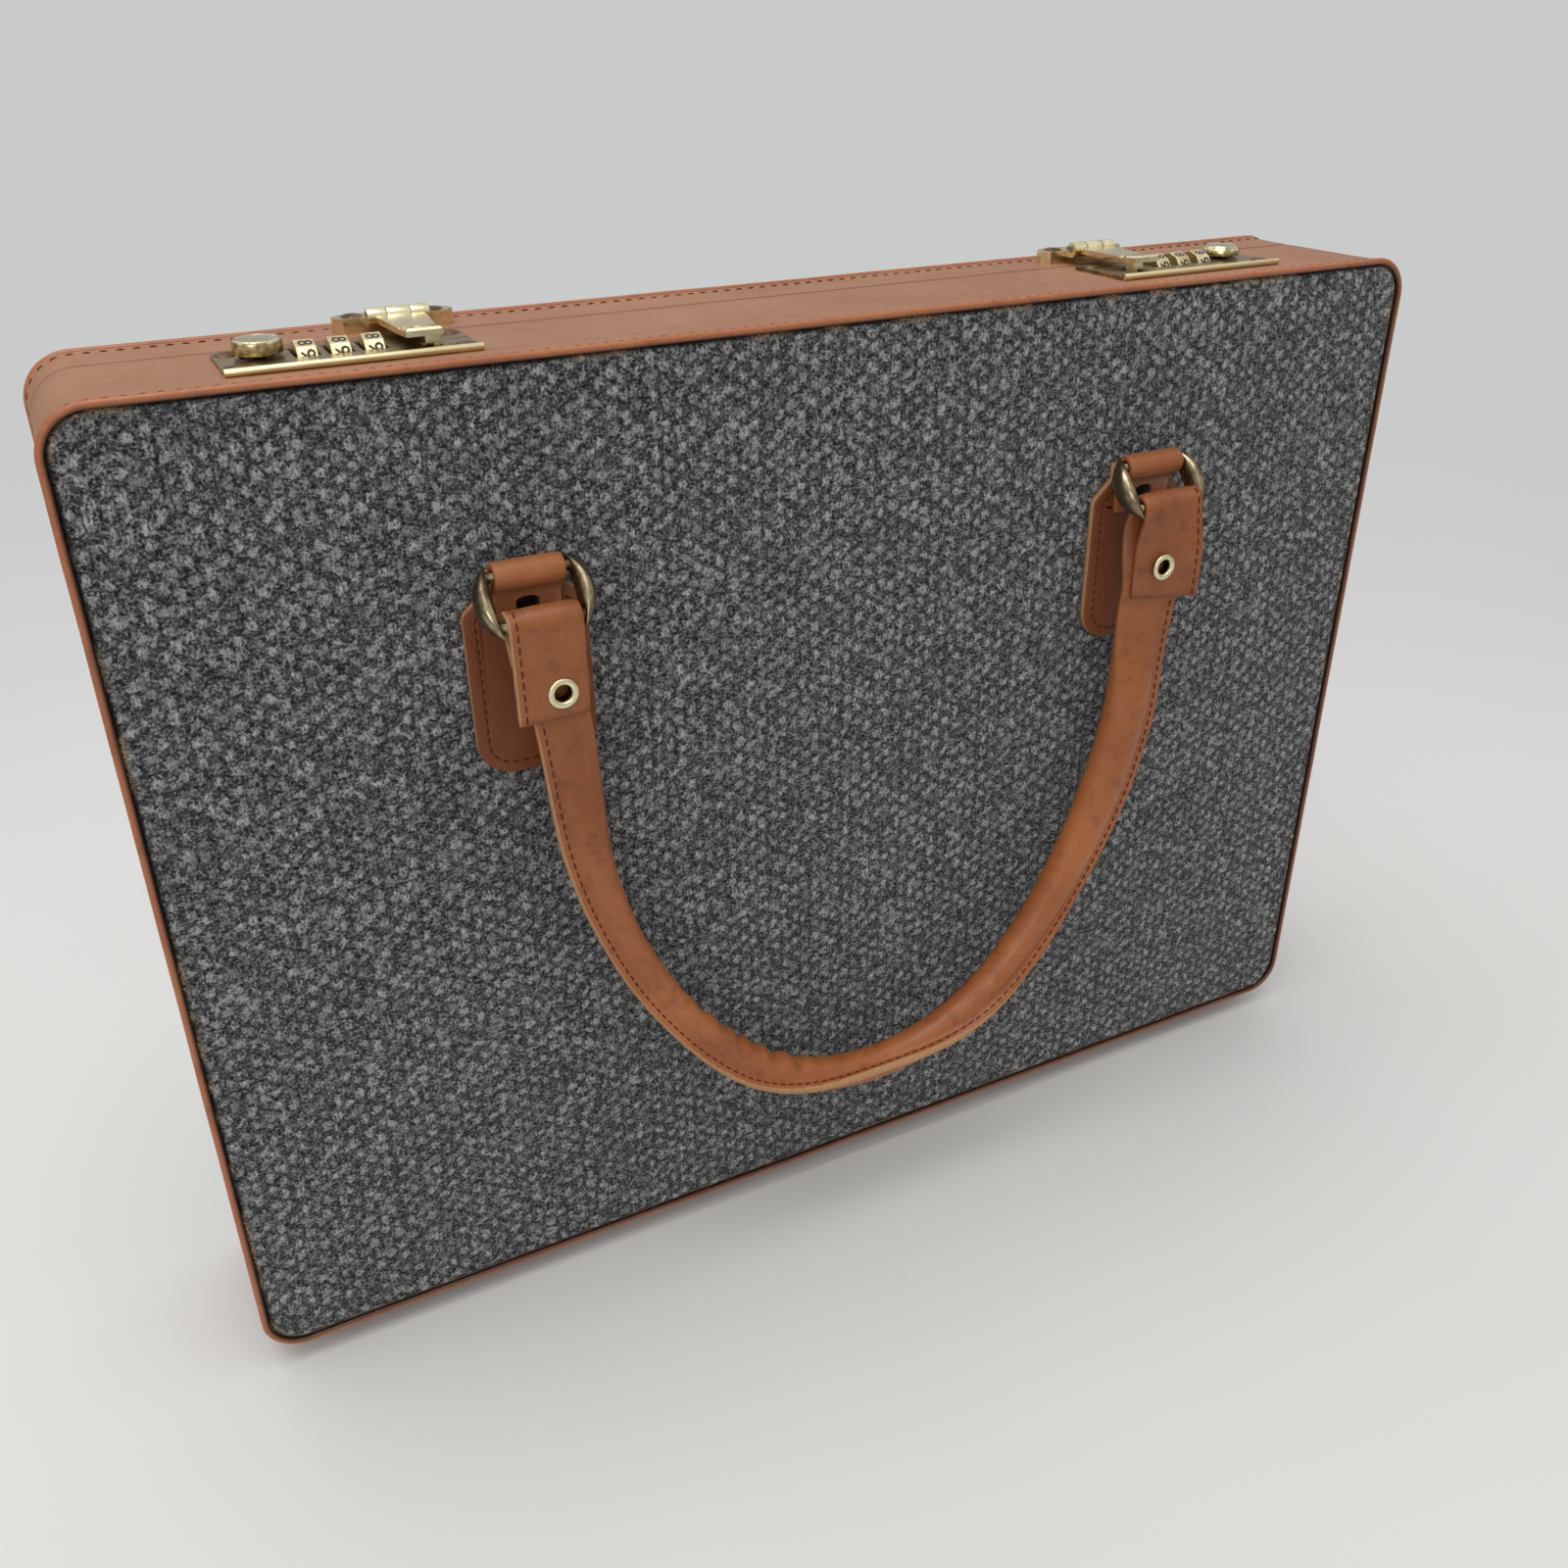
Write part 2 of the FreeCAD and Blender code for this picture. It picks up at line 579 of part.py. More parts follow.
# Lock case under the plate, with two upright walls that carry the dial spindle
LOCK_LEFT = "(lock_inset - case_width / 2)"
LOCK_RIGHT = "(lock_inset + lock_length - case_width / 2)"
LOCK_FRONT = f"({FRONT} + lock_front)"
LOCK_BACK = f"({FRONT} + lock_front + lock_width)"
LOCK_LOW = f"({BAND_TOP} - lock_height)"
SPINDLE_WALLS = (
    f"({DIALS[0]} - dial_width / 2 - 2 * lock_wall)",
    f"({DIALS[2]} + dial_width / 2 + lock_wall)",
)
lock = new_body("lock_case_left")
add(lock, "XY_Plane", LOCK_LOW, BAND_TOP, draw_box, LOCK_LEFT, LOCK_RIGHT, LOCK_FRONT, LOCK_BACK)
cut(
    lock, "XY_Plane", f"{LOCK_LOW} + lock_wall", f"{BAND_TOP} + 1", draw_box,
    f"{LOCK_LEFT} + lock_wall", f"{LOCK_RIGHT} - lock_wall",
    f"{LOCK_FRONT} + lock_wall", f"{LOCK_BACK} - lock_wall",
)
for wall_x in SPINDLE_WALLS:
    add(
        lock, "XY_Plane", LOCK_LOW, f"{BAND_TOP} - side_gap", draw_box,
        wall_x, f"{wall_x} + lock_wall", f"{DIAL_Y} - 2 * pin_radius", f"{DIAL_Y} + 2 * pin_radius",
    )
cut(
    lock, "YZ_Plane", f"{SPINDLE_WALLS[0]} - 1", f"{SPINDLE_WALLS[1]} + 2", draw_circle,
    DIAL_Y, DIAL_Z, "pin_radius",
)

# Dials, each a wheel with ten flats on the spindle
spindle_length = f"{SPINDLE_WALLS[1]} + lock_wall - {SPINDLE_WALLS[0]}"
spindle = cylinder_along_x("spindle_left", SPINDLE_WALLS[0], DIAL_Y, DIAL_Z, "pin_radius", spindle_length)
group("dial_spindles", [spindle, other_latch("spindle_right", spindle)])
for number, dial_x in enumerate(DIALS, start=1):
    wheel = document.addObject("Part::Prism", f"wheel_{number}")
    wheel.Polygon = 10
    wheel.Placement.Rotation = FreeCAD.Rotation(FreeCAD.Vector(0, 1, 0), 90)
    place(wheel, f"{dial_x} - dial_width / 2", DIAL_Y, DIAL_Z)
    bind(wheel, Circumradius="dial_radius", Height="dial_width")
    bore = cylinder_along_x(
        f"wheel_bore_{number}", f"{dial_x} - dial_width", DIAL_Y, DIAL_Z, BORE, "2 * dial_width"
    )
    dial = keep(f"dial_left_{number}", take(f"dial_left_{number}", wheel, bore))
    keep(f"dial_right_{number}", other_latch(f"dial_right_{number}", dial))

# Release knob: bevelled head on a stem that reaches the bolt through the plate
BOLT_TOP = f"({BAND_TOP} - bolt_sink)"
BOLT_LOW = f"({BOLT_TOP} - bolt_wall)"
KNOB_LOW = f"({PLATE_TOP} + rivet_rise + side_gap)"
collar = primitive(
    "Cylinder", "knob_collar", KNOB_X, DIAL_Y, f"{PLATE_TOP} + side_gap",
    Radius="knob_collar", Height="rivet_rise",
)
head = primitive(
    "Cylinder", "knob_head", KNOB_X, DIAL_Y, KNOB_LOW,
    Radius="knob_radius", Height="knob_height - knob_bevel",
)
bevel = primitive(
    "Cone", "knob_bevelled", KNOB_X, DIAL_Y, f"{KNOB_LOW} + knob_height - knob_bevel",
    Radius1="knob_radius", Radius2="knob_radius - knob_bevel", Height="knob_bevel",
)
stem = primitive(
    "Cylinder", "knob_stem_rod", KNOB_X, DIAL_Y, BOLT_TOP,
    Radius="knob_stem", Height=f"{KNOB_LOW} - {BOLT_TOP}",
)
knob = keep("knob_left", join("knob_left", [head, bevel, collar, stem]))

# Bolt: one stamped plate from the knob round the dials to the catch
BOLT_FRONT = f"({FRONT} + bolt_front)"
BOLT_BAR = f"({BOLT_FRONT} + bolt_width)"
CATCH_FACE = f"({CATCH_X} - catch_width / 2)"
PAD_LEFT = f"({KNOB_X} - 1.8 * knob_stem)"
PAD_RIGHT = f"({KNOB_X} + 1.8 * knob_stem)"
BOLT_START = f"({KNOB_X} + 0.5 * knob_stem)"
TIP_BACK = f"({CATCH_Y} + catch_depth / 3)"
bolt = new_body("bolt_left")
add(
    bolt, "XY_Plane", BOLT_LOW, BOLT_TOP, draw_polygon,
    (
        (BOLT_START, BOLT_FRONT),
        (f"{CATCH_FACE} - 2", BOLT_FRONT),
        (f"{CATCH_FACE} - 2", f"{CATCH_Y} - catch_depth / 3"),
        (f"{CATCH_FACE} - side_gap", f"{CATCH_Y} - catch_depth / 3"),
        (f"{CATCH_FACE} - side_gap", TIP_BACK),
        (f"{CATCH_FACE} - 5", TIP_BACK),
        (f"{CATCH_FACE} - 5", BOLT_BAR),
        (PAD_RIGHT, BOLT_BAR),
        (PAD_RIGHT, f"{DIAL_Y} + 2 * knob_stem"),
        (PAD_LEFT, f"{DIAL_Y} + 2 * knob_stem"),
        (PAD_LEFT, f"{DIAL_Y} - 2 * knob_stem"),
        (BOLT_START, f"{DIAL_Y} - 2 * knob_stem"),
    ),
)

# Release spring between the lock case's end and the bolt
SPRING_START = f"({LOCK_LEFT} + lock_wall + spring_wire + 0.1)"
SPRING_Z = f"({BOLT_TOP} - bolt_wall / 2 - 0.4)"
coil = document.addObject("Part::Helix", "spring_line")
coil.Placement.Rotation = FreeCAD.Rotation(FreeCAD.Vector(0, 1, 0), 90)
place(coil, SPRING_START, f"{BOLT_FRONT} + bolt_width / 2", SPRING_Z)
bind(
    coil, Radius="spring_radius", Pitch="spring_pitch",
    Height=f"{BOLT_START} - {SPRING_START} - spring_wire - 0.1",
)
wire = document.addObject("Part::RegularPolygon", "spring_section")
wire.Polygon = 8
wire.Placement.Rotation = FreeCAD.Rotation(FreeCAD.Vector(1, 0, 0), 90)
place(wire, SPRING_START, f"{BOLT_FRONT} + bolt_width / 2", f"{SPRING_Z} - spring_radius")
bind(wire, Circumradius="spring_wire")
spring = document.addObject("Part::Sweep", "release_spring_left")
spring.Sections = [wire]
spring.Spine = (coil, ["Edge1"])
spring.Solid = True
spring.Frenet = True
keep("release_spring_left", spring)

# Bracket on the lid: a bar with two riveted lugs and the outer knuckles of the hasp's barrel
LUG_FRONT = f"({FRONT} + lug_front)"
LUG_BACK = f"({FRONT} + lug_front + lug_width)"
EAR_IN = "(hasp_knuckle / 2 + side_gap / 2)"
EAR_OUT = "(hasp_knuckle / 2 + side_gap / 2 + ear_knuckle)"
bracket = new_body("bracket_left")
corner = "lug_corner"
add(
    bracket, "XY_Plane", BAND_TOP, f"{BAND_TOP} + lug_height", draw_polygon,
    (
        (f"{HASP_X} - lug_reach + {corner}", LUG_FRONT),
        (f"{HASP_X} + lug_reach - {corner}", LUG_FRONT),
        (f"{HASP_X} + lug_reach", f"{LUG_FRONT} + {corner}"),
        (f"{HASP_X} + lug_reach", f"{LUG_BACK} - {corner}"),
        (f"{HASP_X} + lug_reach - {corner}", LUG_BACK),
        (f"{HASP_X} - lug_reach + {corner}", LUG_BACK),
        (f"{HASP_X} - lug_reach", f"{LUG_BACK} - {corner}"),
        (f"{HASP_X} - lug_reach", f"{LUG_FRONT} + {corner}"),
    ),
)
for left, right in (
    (f"{HASP_X} - {EAR_OUT}", f"{HASP_X} - {EAR_IN}"),
    (f"{HASP_X} + {EAR_IN}", f"{HASP_X} + {EAR_OUT}"),
):
    add(bracket, "YZ_Plane", left, right, draw_circle, HASP_Y, HASP_Z, "hasp_barrel")
    add(
        bracket, "YZ_Plane", left, right, draw_box,
        HASP_Y, f"{LUG_FRONT} + 1", f"{HASP_Z} - hasp_barrel", f"{HASP_Z} - 0.5",
    )
cut(
    bracket, "YZ_Plane", f"{HASP_X} - {EAR_OUT} - 1", f"{HASP_X} + {EAR_OUT} + 1",
    draw_circle, HASP_Y, HASP_Z, "pin_radius",
)
LUG_RIVETS = [(f"{HASP_X} + {side} * lug_rivet", f"{LUG_FRONT} + lug_width / 2") for side in (-1, 1)]
for x, y in LUG_RIVETS:
    cut(
        bracket, "XY_Plane", f"{BAND_TOP} + lug_height - plate_wall", f"{BAND_TOP} + lug_height + 1",
        draw_circle, x, y, "rivet_shank",
    )
hasp_pin = cylinder_along_x(
    "hasp_pin_left", f"{HASP_X} - {EAR_OUT}", HASP_Y, HASP_Z, "pin_radius", f"2 * {EAR_OUT}"
)
group("hasp_pins", [hasp_pin, other_latch("hasp_pin_right", hasp_pin)])

# Hasp, drawn closed about its own axis and then set open by its rest angle
TIP_LOW = "(plate_wall + tip_lift - hasp_rise)"
TIP_TOP = f"({TIP_LOW} + tip_wall)"
hasp = new_body("hasp_left")
knuckle = "hasp_knuckle / 2 - side_gap / 2"
add(hasp, "YZ_Plane", f"-({knuckle})", knuckle, draw_circle, "0", "0", "hasp_barrel")
arm_start = "(hasp_barrel + side_gap)"
add(
    hasp, "YZ_Plane", "-arm_width / 2", "arm_width / 2", draw_polygon,
    (
        ("-tip_reach + tip_length - 1", TIP_LOW),
        ("-tip_reach + tip_length - 1", f"{TIP_LOW} + arm_wall"),
        (f"-{arm_start} - 1", "arm_rise"),
        (f"-{arm_start}", "arm_rise"),
        (f"-{arm_start}", "arm_rise - arm_wall"),
    ),
)
add(
    hasp, "YZ_Plane", f"-({knuckle})", knuckle, draw_box,
    f"-{arm_start} - 0.5", "-0.2", "arm_rise - arm_wall", "arm_rise",
)
taper_start, taper_end = "(-tip_reach + tip_length - 1)", f"(-{arm_start} - 4)"
for side in ("-", ""):
    cut(
        hasp, "XY_Plane", f"{TIP_LOW} - 1", "hasp_barrel", draw_polygon,
        (
            (f"{side}(tip_width / 2)", taper_start), (f"{side}(arm_width / 2 + 1)", taper_start),
            (f"{side}(arm_width / 2 + 1)", taper_end), (f"{side}(arm_width / 2)", taper_end),
        ),
    )
add(
    hasp, "YZ_Plane", "-tip_width / 2", "tip_width / 2", draw_polygon,
    (
        ("-tip_reach", TIP_LOW),
        ("-tip_reach + tip_length", TIP_LOW),
        ("-tip_reach + tip_length", TIP_TOP),
        ("-tip_reach + hasp_bevel", TIP_TOP),
        ("-tip_reach", f"{TIP_TOP} - hasp_bevel"),
    ),
)
catch_x = f"({CATCH_X} - {HASP_X})"
catch_low = "(-catch_drop - hasp_rise)"
add(
    hasp, "XY_Plane", catch_low, TIP_LOW, draw_box,
    f"{catch_x} - catch_width / 2", f"{catch_x} + catch_width / 2",
    "-catch_reach - catch_depth / 2", "-catch_reach + catch_depth / 2",
)
cut(
    hasp, "YZ_Plane", f"{catch_x} - catch_width / 2 - 1", f"{catch_x} - catch_width / 2 + catch_mouth",
    draw_box, "-catch_reach - catch_depth", "-catch_reach + catch_depth",
    f"{catch_low} + catch_lip", f"-bolt_sink - hasp_rise + side_gap",
)
cut(
    hasp, "YZ_Plane", "-tip_width", "tip_width",
    draw_box, "-tip_reach + tip_length - 2.2", "-tip_reach + tip_length - 1.1",
    f"{TIP_TOP} - 0.7", f"{TIP_TOP} + 1",
)
for side in ("-", ""):
    inner, outer = f"{side}(tip_width / 2 - hasp_bevel)", f"{side}(tip_width / 2 + 1)"
    cut(
        hasp, "XZ_Plane", "-tip_reach - 1", "-tip_reach + tip_length + 0.5", draw_polygon,
        (
            (inner, f"{TIP_TOP} + 1"), (inner, TIP_TOP),
            (outer, f"{TIP_TOP} - hasp_bevel - 1"), (outer, f"{TIP_TOP} + 1"),
        ),
    )
cut(hasp, "YZ_Plane", "-arm_width", "arm_width", draw_circle, "0", "0", BORE)
hasp.Placement.Rotation = FreeCAD.Rotation(FreeCAD.Vector(-1, 0, 0), 5)
place(hasp, HASP_X, HASP_Y, HASP_Z)
bind(hasp, Placement__Rotation__Angle="hasp_open")

for name in ("latch_plate", "lock_case", "knob", "bolt", "release_spring", "bracket", "hasp"):
    keep(f"{name}_right", other_latch(f"{name}_right", pieces[f"{name}_left"]))


# Rivets with domed heads and short shanks
def rivet(name, x, y, z, down=False):
    start = document.addObject("Part::Cylinder", f"{name}_shank")
    turn = 180 if down else 0
    start.Placement.Rotation = FreeCAD.Rotation(FreeCAD.Vector(1, 0, 0), turn)
    sign = "+" if down else "-"
    place(start, x, y, f"{z} {sign} plate_wall * 0.8")
    bind(start, Radius="rivet_shank - running_fit", Height="plate_wall * 0.8")
    dome = document.addObject("Part::Ellipsoid", f"{name}_dome")
    dome.Placement.Rotation = FreeCAD.Rotation(FreeCAD.Vector(1, 0, 0), turn)
    place(dome, x, y, z)
    bind(dome, Radius1="rivet_rise", Radius2="rivet_radius", Radius3="rivet_radius")
    dome.Angle1 = 0
    return join(name, [start, dome])


body_rivets = []
lid_rivets = []
for number, (x, y) in enumerate(PLATE_RIVETS):
    left = rivet(f"plate_rivet_{number}", x, y, PLATE_TOP)
    body_rivets += [left, other_latch(f"plate_rivet_{number}_right", left)]
for number, (x, y) in enumerate(LUG_RIVETS):
    left = rivet(f"lug_rivet_{number}", x, y, f"{BAND_TOP} + lug_height")
    lid_rivets += [left, other_latch(f"lug_rivet_{number}_right", left)]
for sign, bunch in ((-1, body_rivets), (1, lid_rivets)):
    for number, middle in enumerate(HINGES):
        for spot, (x, y) in enumerate(hinge_rivet_places(middle, sign)):
            name = f"hinge_rivet_{'body' if sign < 0 else 'lid'}_{number}_{spot}"
            bunch.append(rivet(name, x, y, "foot_height - leaf_wall", down=True))
group("body_rivets", body_rivets)
group("lid_rivets", lid_rivets)

# Leather tab on the front face: the tab, the loop round the ring's bar and its front layer
tab = new_body("front_tab_left")
TAB_X = f"(-{RING_X})"
half_tab, half_loop = "tab_width / 2", "loop_width / 2"
clip = "0.3 * tab_round"
add(
    tab, "XZ_Plane", TAB_Y, CLOTH_Y, draw_polygon,
    (
        (f"{TAB_X} - {half_tab}", f"{BASE} + tab_bottom + tab_round"),
        (f"{TAB_X} - {half_tab} + {clip}", f"{BASE} + tab_bottom + {clip}"),
        (f"{TAB_X} - {half_tab} + tab_round", f"{BASE} + tab_bottom"),
        (f"{TAB_X} + {half_tab} - tab_round", f"{BASE} + tab_bottom"),
        (f"{TAB_X} + {half_tab} - {clip}", f"{BASE} + tab_bottom + {clip}"),
        (f"{TAB_X} + {half_tab}", f"{BASE} + tab_bottom + tab_round"),
        (f"{TAB_X} + {half_tab}", f"{BASE} + tab_shoulder"),
        (f"{TAB_X} + {half_loop}", f"{BASE} + tab_neck"),
        (f"{TAB_X} + {half_loop}", RING_Z),
        (f"{TAB_X} - {half_loop}", RING_Z),
        (f"{TAB_X} - {half_loop}", f"{BASE} + tab_neck"),
        (f"{TAB_X} - {half_tab}", f"{BASE} + tab_shoulder"),
    ),
)
loop_out = "(ring_bar + loop_play + loop_leather)"
loop_ends = (f"{TAB_X} - {half_loop}", f"{TAB_X} + {half_loop}")
add(tab, "YZ_Plane", *loop_ends, draw_circle, RING_Y, RING_Z, loop_out)
add(
    tab, "YZ_Plane", *loop_ends, draw_polygon,
    (
        (TAB_Y, f"{BASE} + strap_end"),
        (f"{TAB_Y} - strap_wall", f"{BASE} + strap_end"),
        (f"{TAB_Y} - strap_wall", f"{RING_Z} - 1.5 * {loop_out}"),
        (f"{RING_Y} - 0.6 * {loop_out}", f"{RING_Z} - 0.7 * {loop_out}"),
        (RING_Y, RING_Z),
        (f"{TAB_Y} + tab_wall / 2", RING_Z),
        (f"{TAB_Y} + tab_wall / 2", f"{BASE} + strap_end"),
    ),
)
cut(tab, "YZ_Plane", *loop_ends, draw_circle, RING_Y, RING_Z, "ring_bar + loop_play")
right_tab = keep("front_tab_right", mirrored("front_tab_right", tab, LEFT_TO_RIGHT))

# Ring, drawn hanging straight about its upper bar and then leaned out by the handle
ring = new_body("front_ring_left")
half_in = "ring_inside / 2"
mid_z = "-ring_reach / 2"
tall = "(ring_reach / 2 + ring_tip)"


def draw_crescent(sketch, side):
    """One side of the ring seen from the front: a flat inner arc and a fuller outer one."""
    start = sketch.GeometryCount
    inner = value(half_in)
    thick, reach, middle = value("ring_side"), value(tall), value(mid_z)
    bow = 0.25 * thick
    ends = [FreeCAD.Vector(side * inner, middle + end * reach, 0) for end in (-1, 1)]
    for bulge in (bow, thick + bow):
        centre = FreeCAD.Vector(side * (inner + bulge), middle, 0)
        sketch.addGeometry(Part.Arc(ends[0], centre, ends[1]), False)
    sides = (1, 2) if side > 0 else (2, 1)
    for arc in (start, start + 1):
        pin_point(sketch, arc, sides[0], f"{side} * {half_in}", f"{mid_z} - {tall}")
        pin_point(sketch, arc, sides[1], f"{side} * {half_in}", f"{mid_z} + {tall}")
    for arc, bulge in ((start, "0.25 * ring_side"), (start + 1, "1.25 * ring_side")):
        index = sketch.addConstraint(Sketcher.Constraint("Radius", arc, sketch.Geometry[arc].Radius))
        sketch.setExpression(
            f"Constraints[{index}]", bound(f"({tall} ^ 2 + ({bulge}) ^ 2) / (2 * ({bulge}))")
        )


def draw_lens_gap(sketch, side):
    """What is cut off one face of the ring's sides to taper them towards the bars."""
    half = "ring_depth / 2"
    end = "(0.55 * ring_bar)"
    start = sketch.GeometryCount
    low, high = f"{mid_z} - {tall} - 1", f"{mid_z} + {tall} + 1"
    corners = [(f"{side} * {end}", low), (f"{side} * (ring_depth + 2)", low),
               (f"{side} * (ring_depth + 2)", high), (f"{side} * {end}", high)]
    spots = [FreeCAD.Vector(value(x), value(y), 0) for x, y in corners]
    for first, second in zip(spots[:-1], spots[1:]):
        sketch.addGeometry(Part.LineSegment(first, second), False)
    for index in range(2):
        sketch.addConstraint(Sketcher.Constraint("Coincident", start + index, 2, start + index + 1, 1))
    for index in range(3):
        pin_point(sketch, start + index, 1, *corners[index])
    pin_point(sketch, start + 2, 2, *corners[3])
    bulge = FreeCAD.Vector(side * value(half), value(mid_z), 0)
    sketch.addGeometry(Part.Arc(spots[3], bulge, spots[0]), False)
    arc = start + 3
    top, bottom = (2, 1) if side > 0 else (1, 2)
    sketch.addConstraint(Sketcher.Constraint("Coincident", arc, top, start + 2, 2))
    sketch.addConstraint(Sketcher.Constraint("Coincident", arc, bottom, start, 1))
    chord, sag = f"({tall} + 1)", f"({half} - {end})"
    index = sketch.addConstraint(Sketcher.Constraint("Radius", arc, sketch.Geometry[arc].Radius))
    sketch.setExpression(f"Constraints[{index}]", bound(f"({chord} ^ 2 + {sag} ^ 2) / (2 * {sag})"))


bar_reach = f"({half_in} + 0.32 * ring_side)"
add(ring, "YZ_Plane", f"-{bar_reach}", bar_reach, draw_circle, "0", "0", "ring_bar")
crescent_depth = ("-ring_depth / 2", "ring_depth / 2")
for side in (-1, 1):
    add(ring, "XZ_Plane", *crescent_depth, draw_crescent, side)
add(ring, "YZ_Plane", f"-{bar_reach}", bar_reach, draw_circle, "0", "-ring_reach", "ring_bar")
for side in (-1, 1):
    cut(ring, "YZ_Plane", "-ring_inside", "ring_inside", draw_lens_gap, side)
ring.Placement.Rotation = FreeCAD.Rotation(FreeCAD.Vector(-1, 0, 0), 30)
place(ring, TAB_X, RING_Y, RING_Z)
bind(ring, Placement__Rotation__Angle=RING_LEAN)
right_ring = keep("front_ring_right", mirrored("front_ring_right", ring, LEFT_TO_RIGHT))

# Handle: a rolled leather tube with a sewn edge, its ends folded over the rings' lower bars.
# Each side of its line is a middle bend, a wider bend and a straight leg; the wider bend's
# radius and the leg's length follow from the span and the drop.
grip, first_turn, last_turn = value("grip_radius"), value("grip_turn"), value("leg_turn")
GRIP_SIN, GRIP_COS = "sin(grip_turn)", "cos(grip_turn)"
LEG_SIN, LEG_COS = "sin(leg_turn)", "cos(leg_turn)"
LEFT_OVER = f"(handle_span / 2 - grip_radius * {GRIP_SIN})"
DROP_LEFT = f"(handle_drop - grip_radius * (1 - {GRIP_COS}))"
BEND = (
    f"(({LEFT_OVER} * {LEG_SIN} - {DROP_LEFT} * {LEG_COS})"
    f" / (({LEG_SIN} - {GRIP_SIN}) * {LEG_SIN} - ({GRIP_COS} - {LEG_COS}) * {LEG_COS}))"
)
GRIP_Z = f"({HANDLE_Z} - handle_drop)"
TURN_X = f"(grip_radius * {GRIP_SIN})"
TURN_Z = f"({GRIP_Z} + grip_radius * (1 - {GRIP_COS}))"
LEG_X = f"({TURN_X} + {BEND} * ({LEG_SIN} - {GRIP_SIN}))"
LEG_Z = f"({TURN_Z} + {BEND} * ({GRIP_COS} - {LEG_COS}))"


def in_degrees(text):
    """The expression with its sines and cosines taken of degrees."""
    return re.sub(r"(sin|cos)\((\w+)\)", r"\1(\2 * 1 deg)", text)


def draw_handle_line(sketch, end_z):
    """Half of the handle's line, from the middle of the grip up to `end_z` on the leg."""
    up = FreeCAD.Vector(0, 0, 1)
    low = value(in_degrees(GRIP_Z))
    bend = value(in_degrees(BEND))
    first, last = math.radians(first_turn), math.radians(last_turn)
    centre = FreeCAD.Vector(0, low + grip, 0)
    sketch.addGeometry(
        Part.ArcOfCircle(Part.Circle(centre, up, grip), -math.pi / 2, first - math.pi / 2), False
    )
    shift = bend - grip
    second = FreeCAD.Vector(centre.x - shift * math.sin(first), centre.y + shift * math.cos(first), 0)
    sketch.addGeometry(
        Part.ArcOfCircle(Part.Circle(second, up, bend), first - math.pi / 2, last - math.pi / 2), False
    )
    leg = FreeCAD.Vector(second.x + bend * math.sin(last), second.y - bend * math.cos(last), 0)
    top = value(in_degrees(end_z))
    rise = (top - leg.y) / math.tan(last)
    sketch.addGeometry(Part.LineSegment(leg, FreeCAD.Vector(leg.x + rise, top, 0)), False)
    sketch.addConstraint(Sketcher.Constraint("Tangent", 0, 2, 1, 1))
    sketch.addConstraint(Sketcher.Constraint("Tangent", 1, 2, 2, 1))
    pin_point(sketch, 0, 1, "0", in_degrees(GRIP_Z))
    sketch.addConstraint(Sketcher.Constraint("PointOnObject", 0, 3, -2))
    pin_point(sketch, 1, 1, in_degrees(TURN_X), in_degrees(TURN_Z))
    pin_point(sketch, 2, 1, in_degrees(LEG_X), in_degrees(LEG_Z))
    measure(sketch, "DistanceY", -1, 1, 2, 2, in_degrees(end_z))


def sweep_handle(body, end_z, draw, *details, cut=False):
    path = new_sketch(body, "XZ_Plane", f"-{HANDLE_Y}")
    draw_handle_line(path, end_z)
    profile = new_sketch(body, "YZ_Plane", "0")
    draw(profile, *details)
    document.recompute()
    kind = "PartDesign::SubtractivePipe" if cut else "PartDesign::AdditivePipe"
    pipe = body.newObject(kind, f"{body.Name}_{'bore' if cut else 'tube'}")
    pipe.Profile = profile
    pipe.Spine = (path, [])
    document.recompute()
    return pipe


GRIP_LOW = in_degrees(GRIP_Z)
LOOP_RADIUS = "(ring_bar + loop_play + flap_wall)"
FLAP_TOP = HANDLE_Z
FLAP_LOW = f"({HANDLE_Z} - flap_length)"
FLAP_FRONT = f"({HANDLE_Y} - flap_depth / 2)"
FLAP_BACK = f"({HANDLE_Y} + flap_depth / 2)"
TUBE_TOP = f"({FLAP_LOW} + 1)"
CORE_TOP = f"({FLAP_LOW} - 1)"


def draw_rolled(sketch, radius, wall, reach):
    """The rolled tube with its sewn edge underneath, as one closed outline."""
    across, low = value(HANDLE_Y), value(GRIP_LOW)
    half = value(wall) / 2
    drop = math.sqrt(value(radius) ** 2 - half ** 2)
    first = math.atan2(-drop, half)
    circle = Part.Circle(FreeCAD.Vector(across, low, 0), FreeCAD.Vector(0, 0, 1), value(radius))
    sketch.addGeometry(Part.ArcOfCircle(circle, first, math.pi - first), False)
    bottom = low - value(radius) - value(reach)
    left, right = across - half, across + half
    spots = [(left, low - drop), (left, bottom), (right, bottom), (right, low - drop)]
    for begin, finish in zip(spots[:-1], spots[1:]):
        line = Part.LineSegment(FreeCAD.Vector(*begin, 0), FreeCAD.Vector(*finish, 0))
        sketch.addGeometry(line, False)
    for index in range(4):
        sketch.addConstraint(Sketcher.Constraint("Coincident", index, 2, (index + 1) % 4, 1))
    pin_point(sketch, 0, 3, HANDLE_Y, GRIP_LOW)
    hold = sketch.addConstraint(Sketcher.Constraint("Radius", 0, value(radius)))
    sketch.setExpression(f"Constraints[{hold}]", bound(radius))
    pin_point(sketch, 2, 1, f"{HANDLE_Y} - {wall} / 2", f"{GRIP_LOW} - {radius} - {reach}")
    pin_point(sketch, 2, 2, f"{HANDLE_Y} + {wall} / 2", f"{GRIP_LOW} - {radius} - {reach}")
    sketch.addConstraint(Sketcher.Constraint("Vertical", 1))
    sketch.addConstraint(Sketcher.Constraint("Vertical", 3))


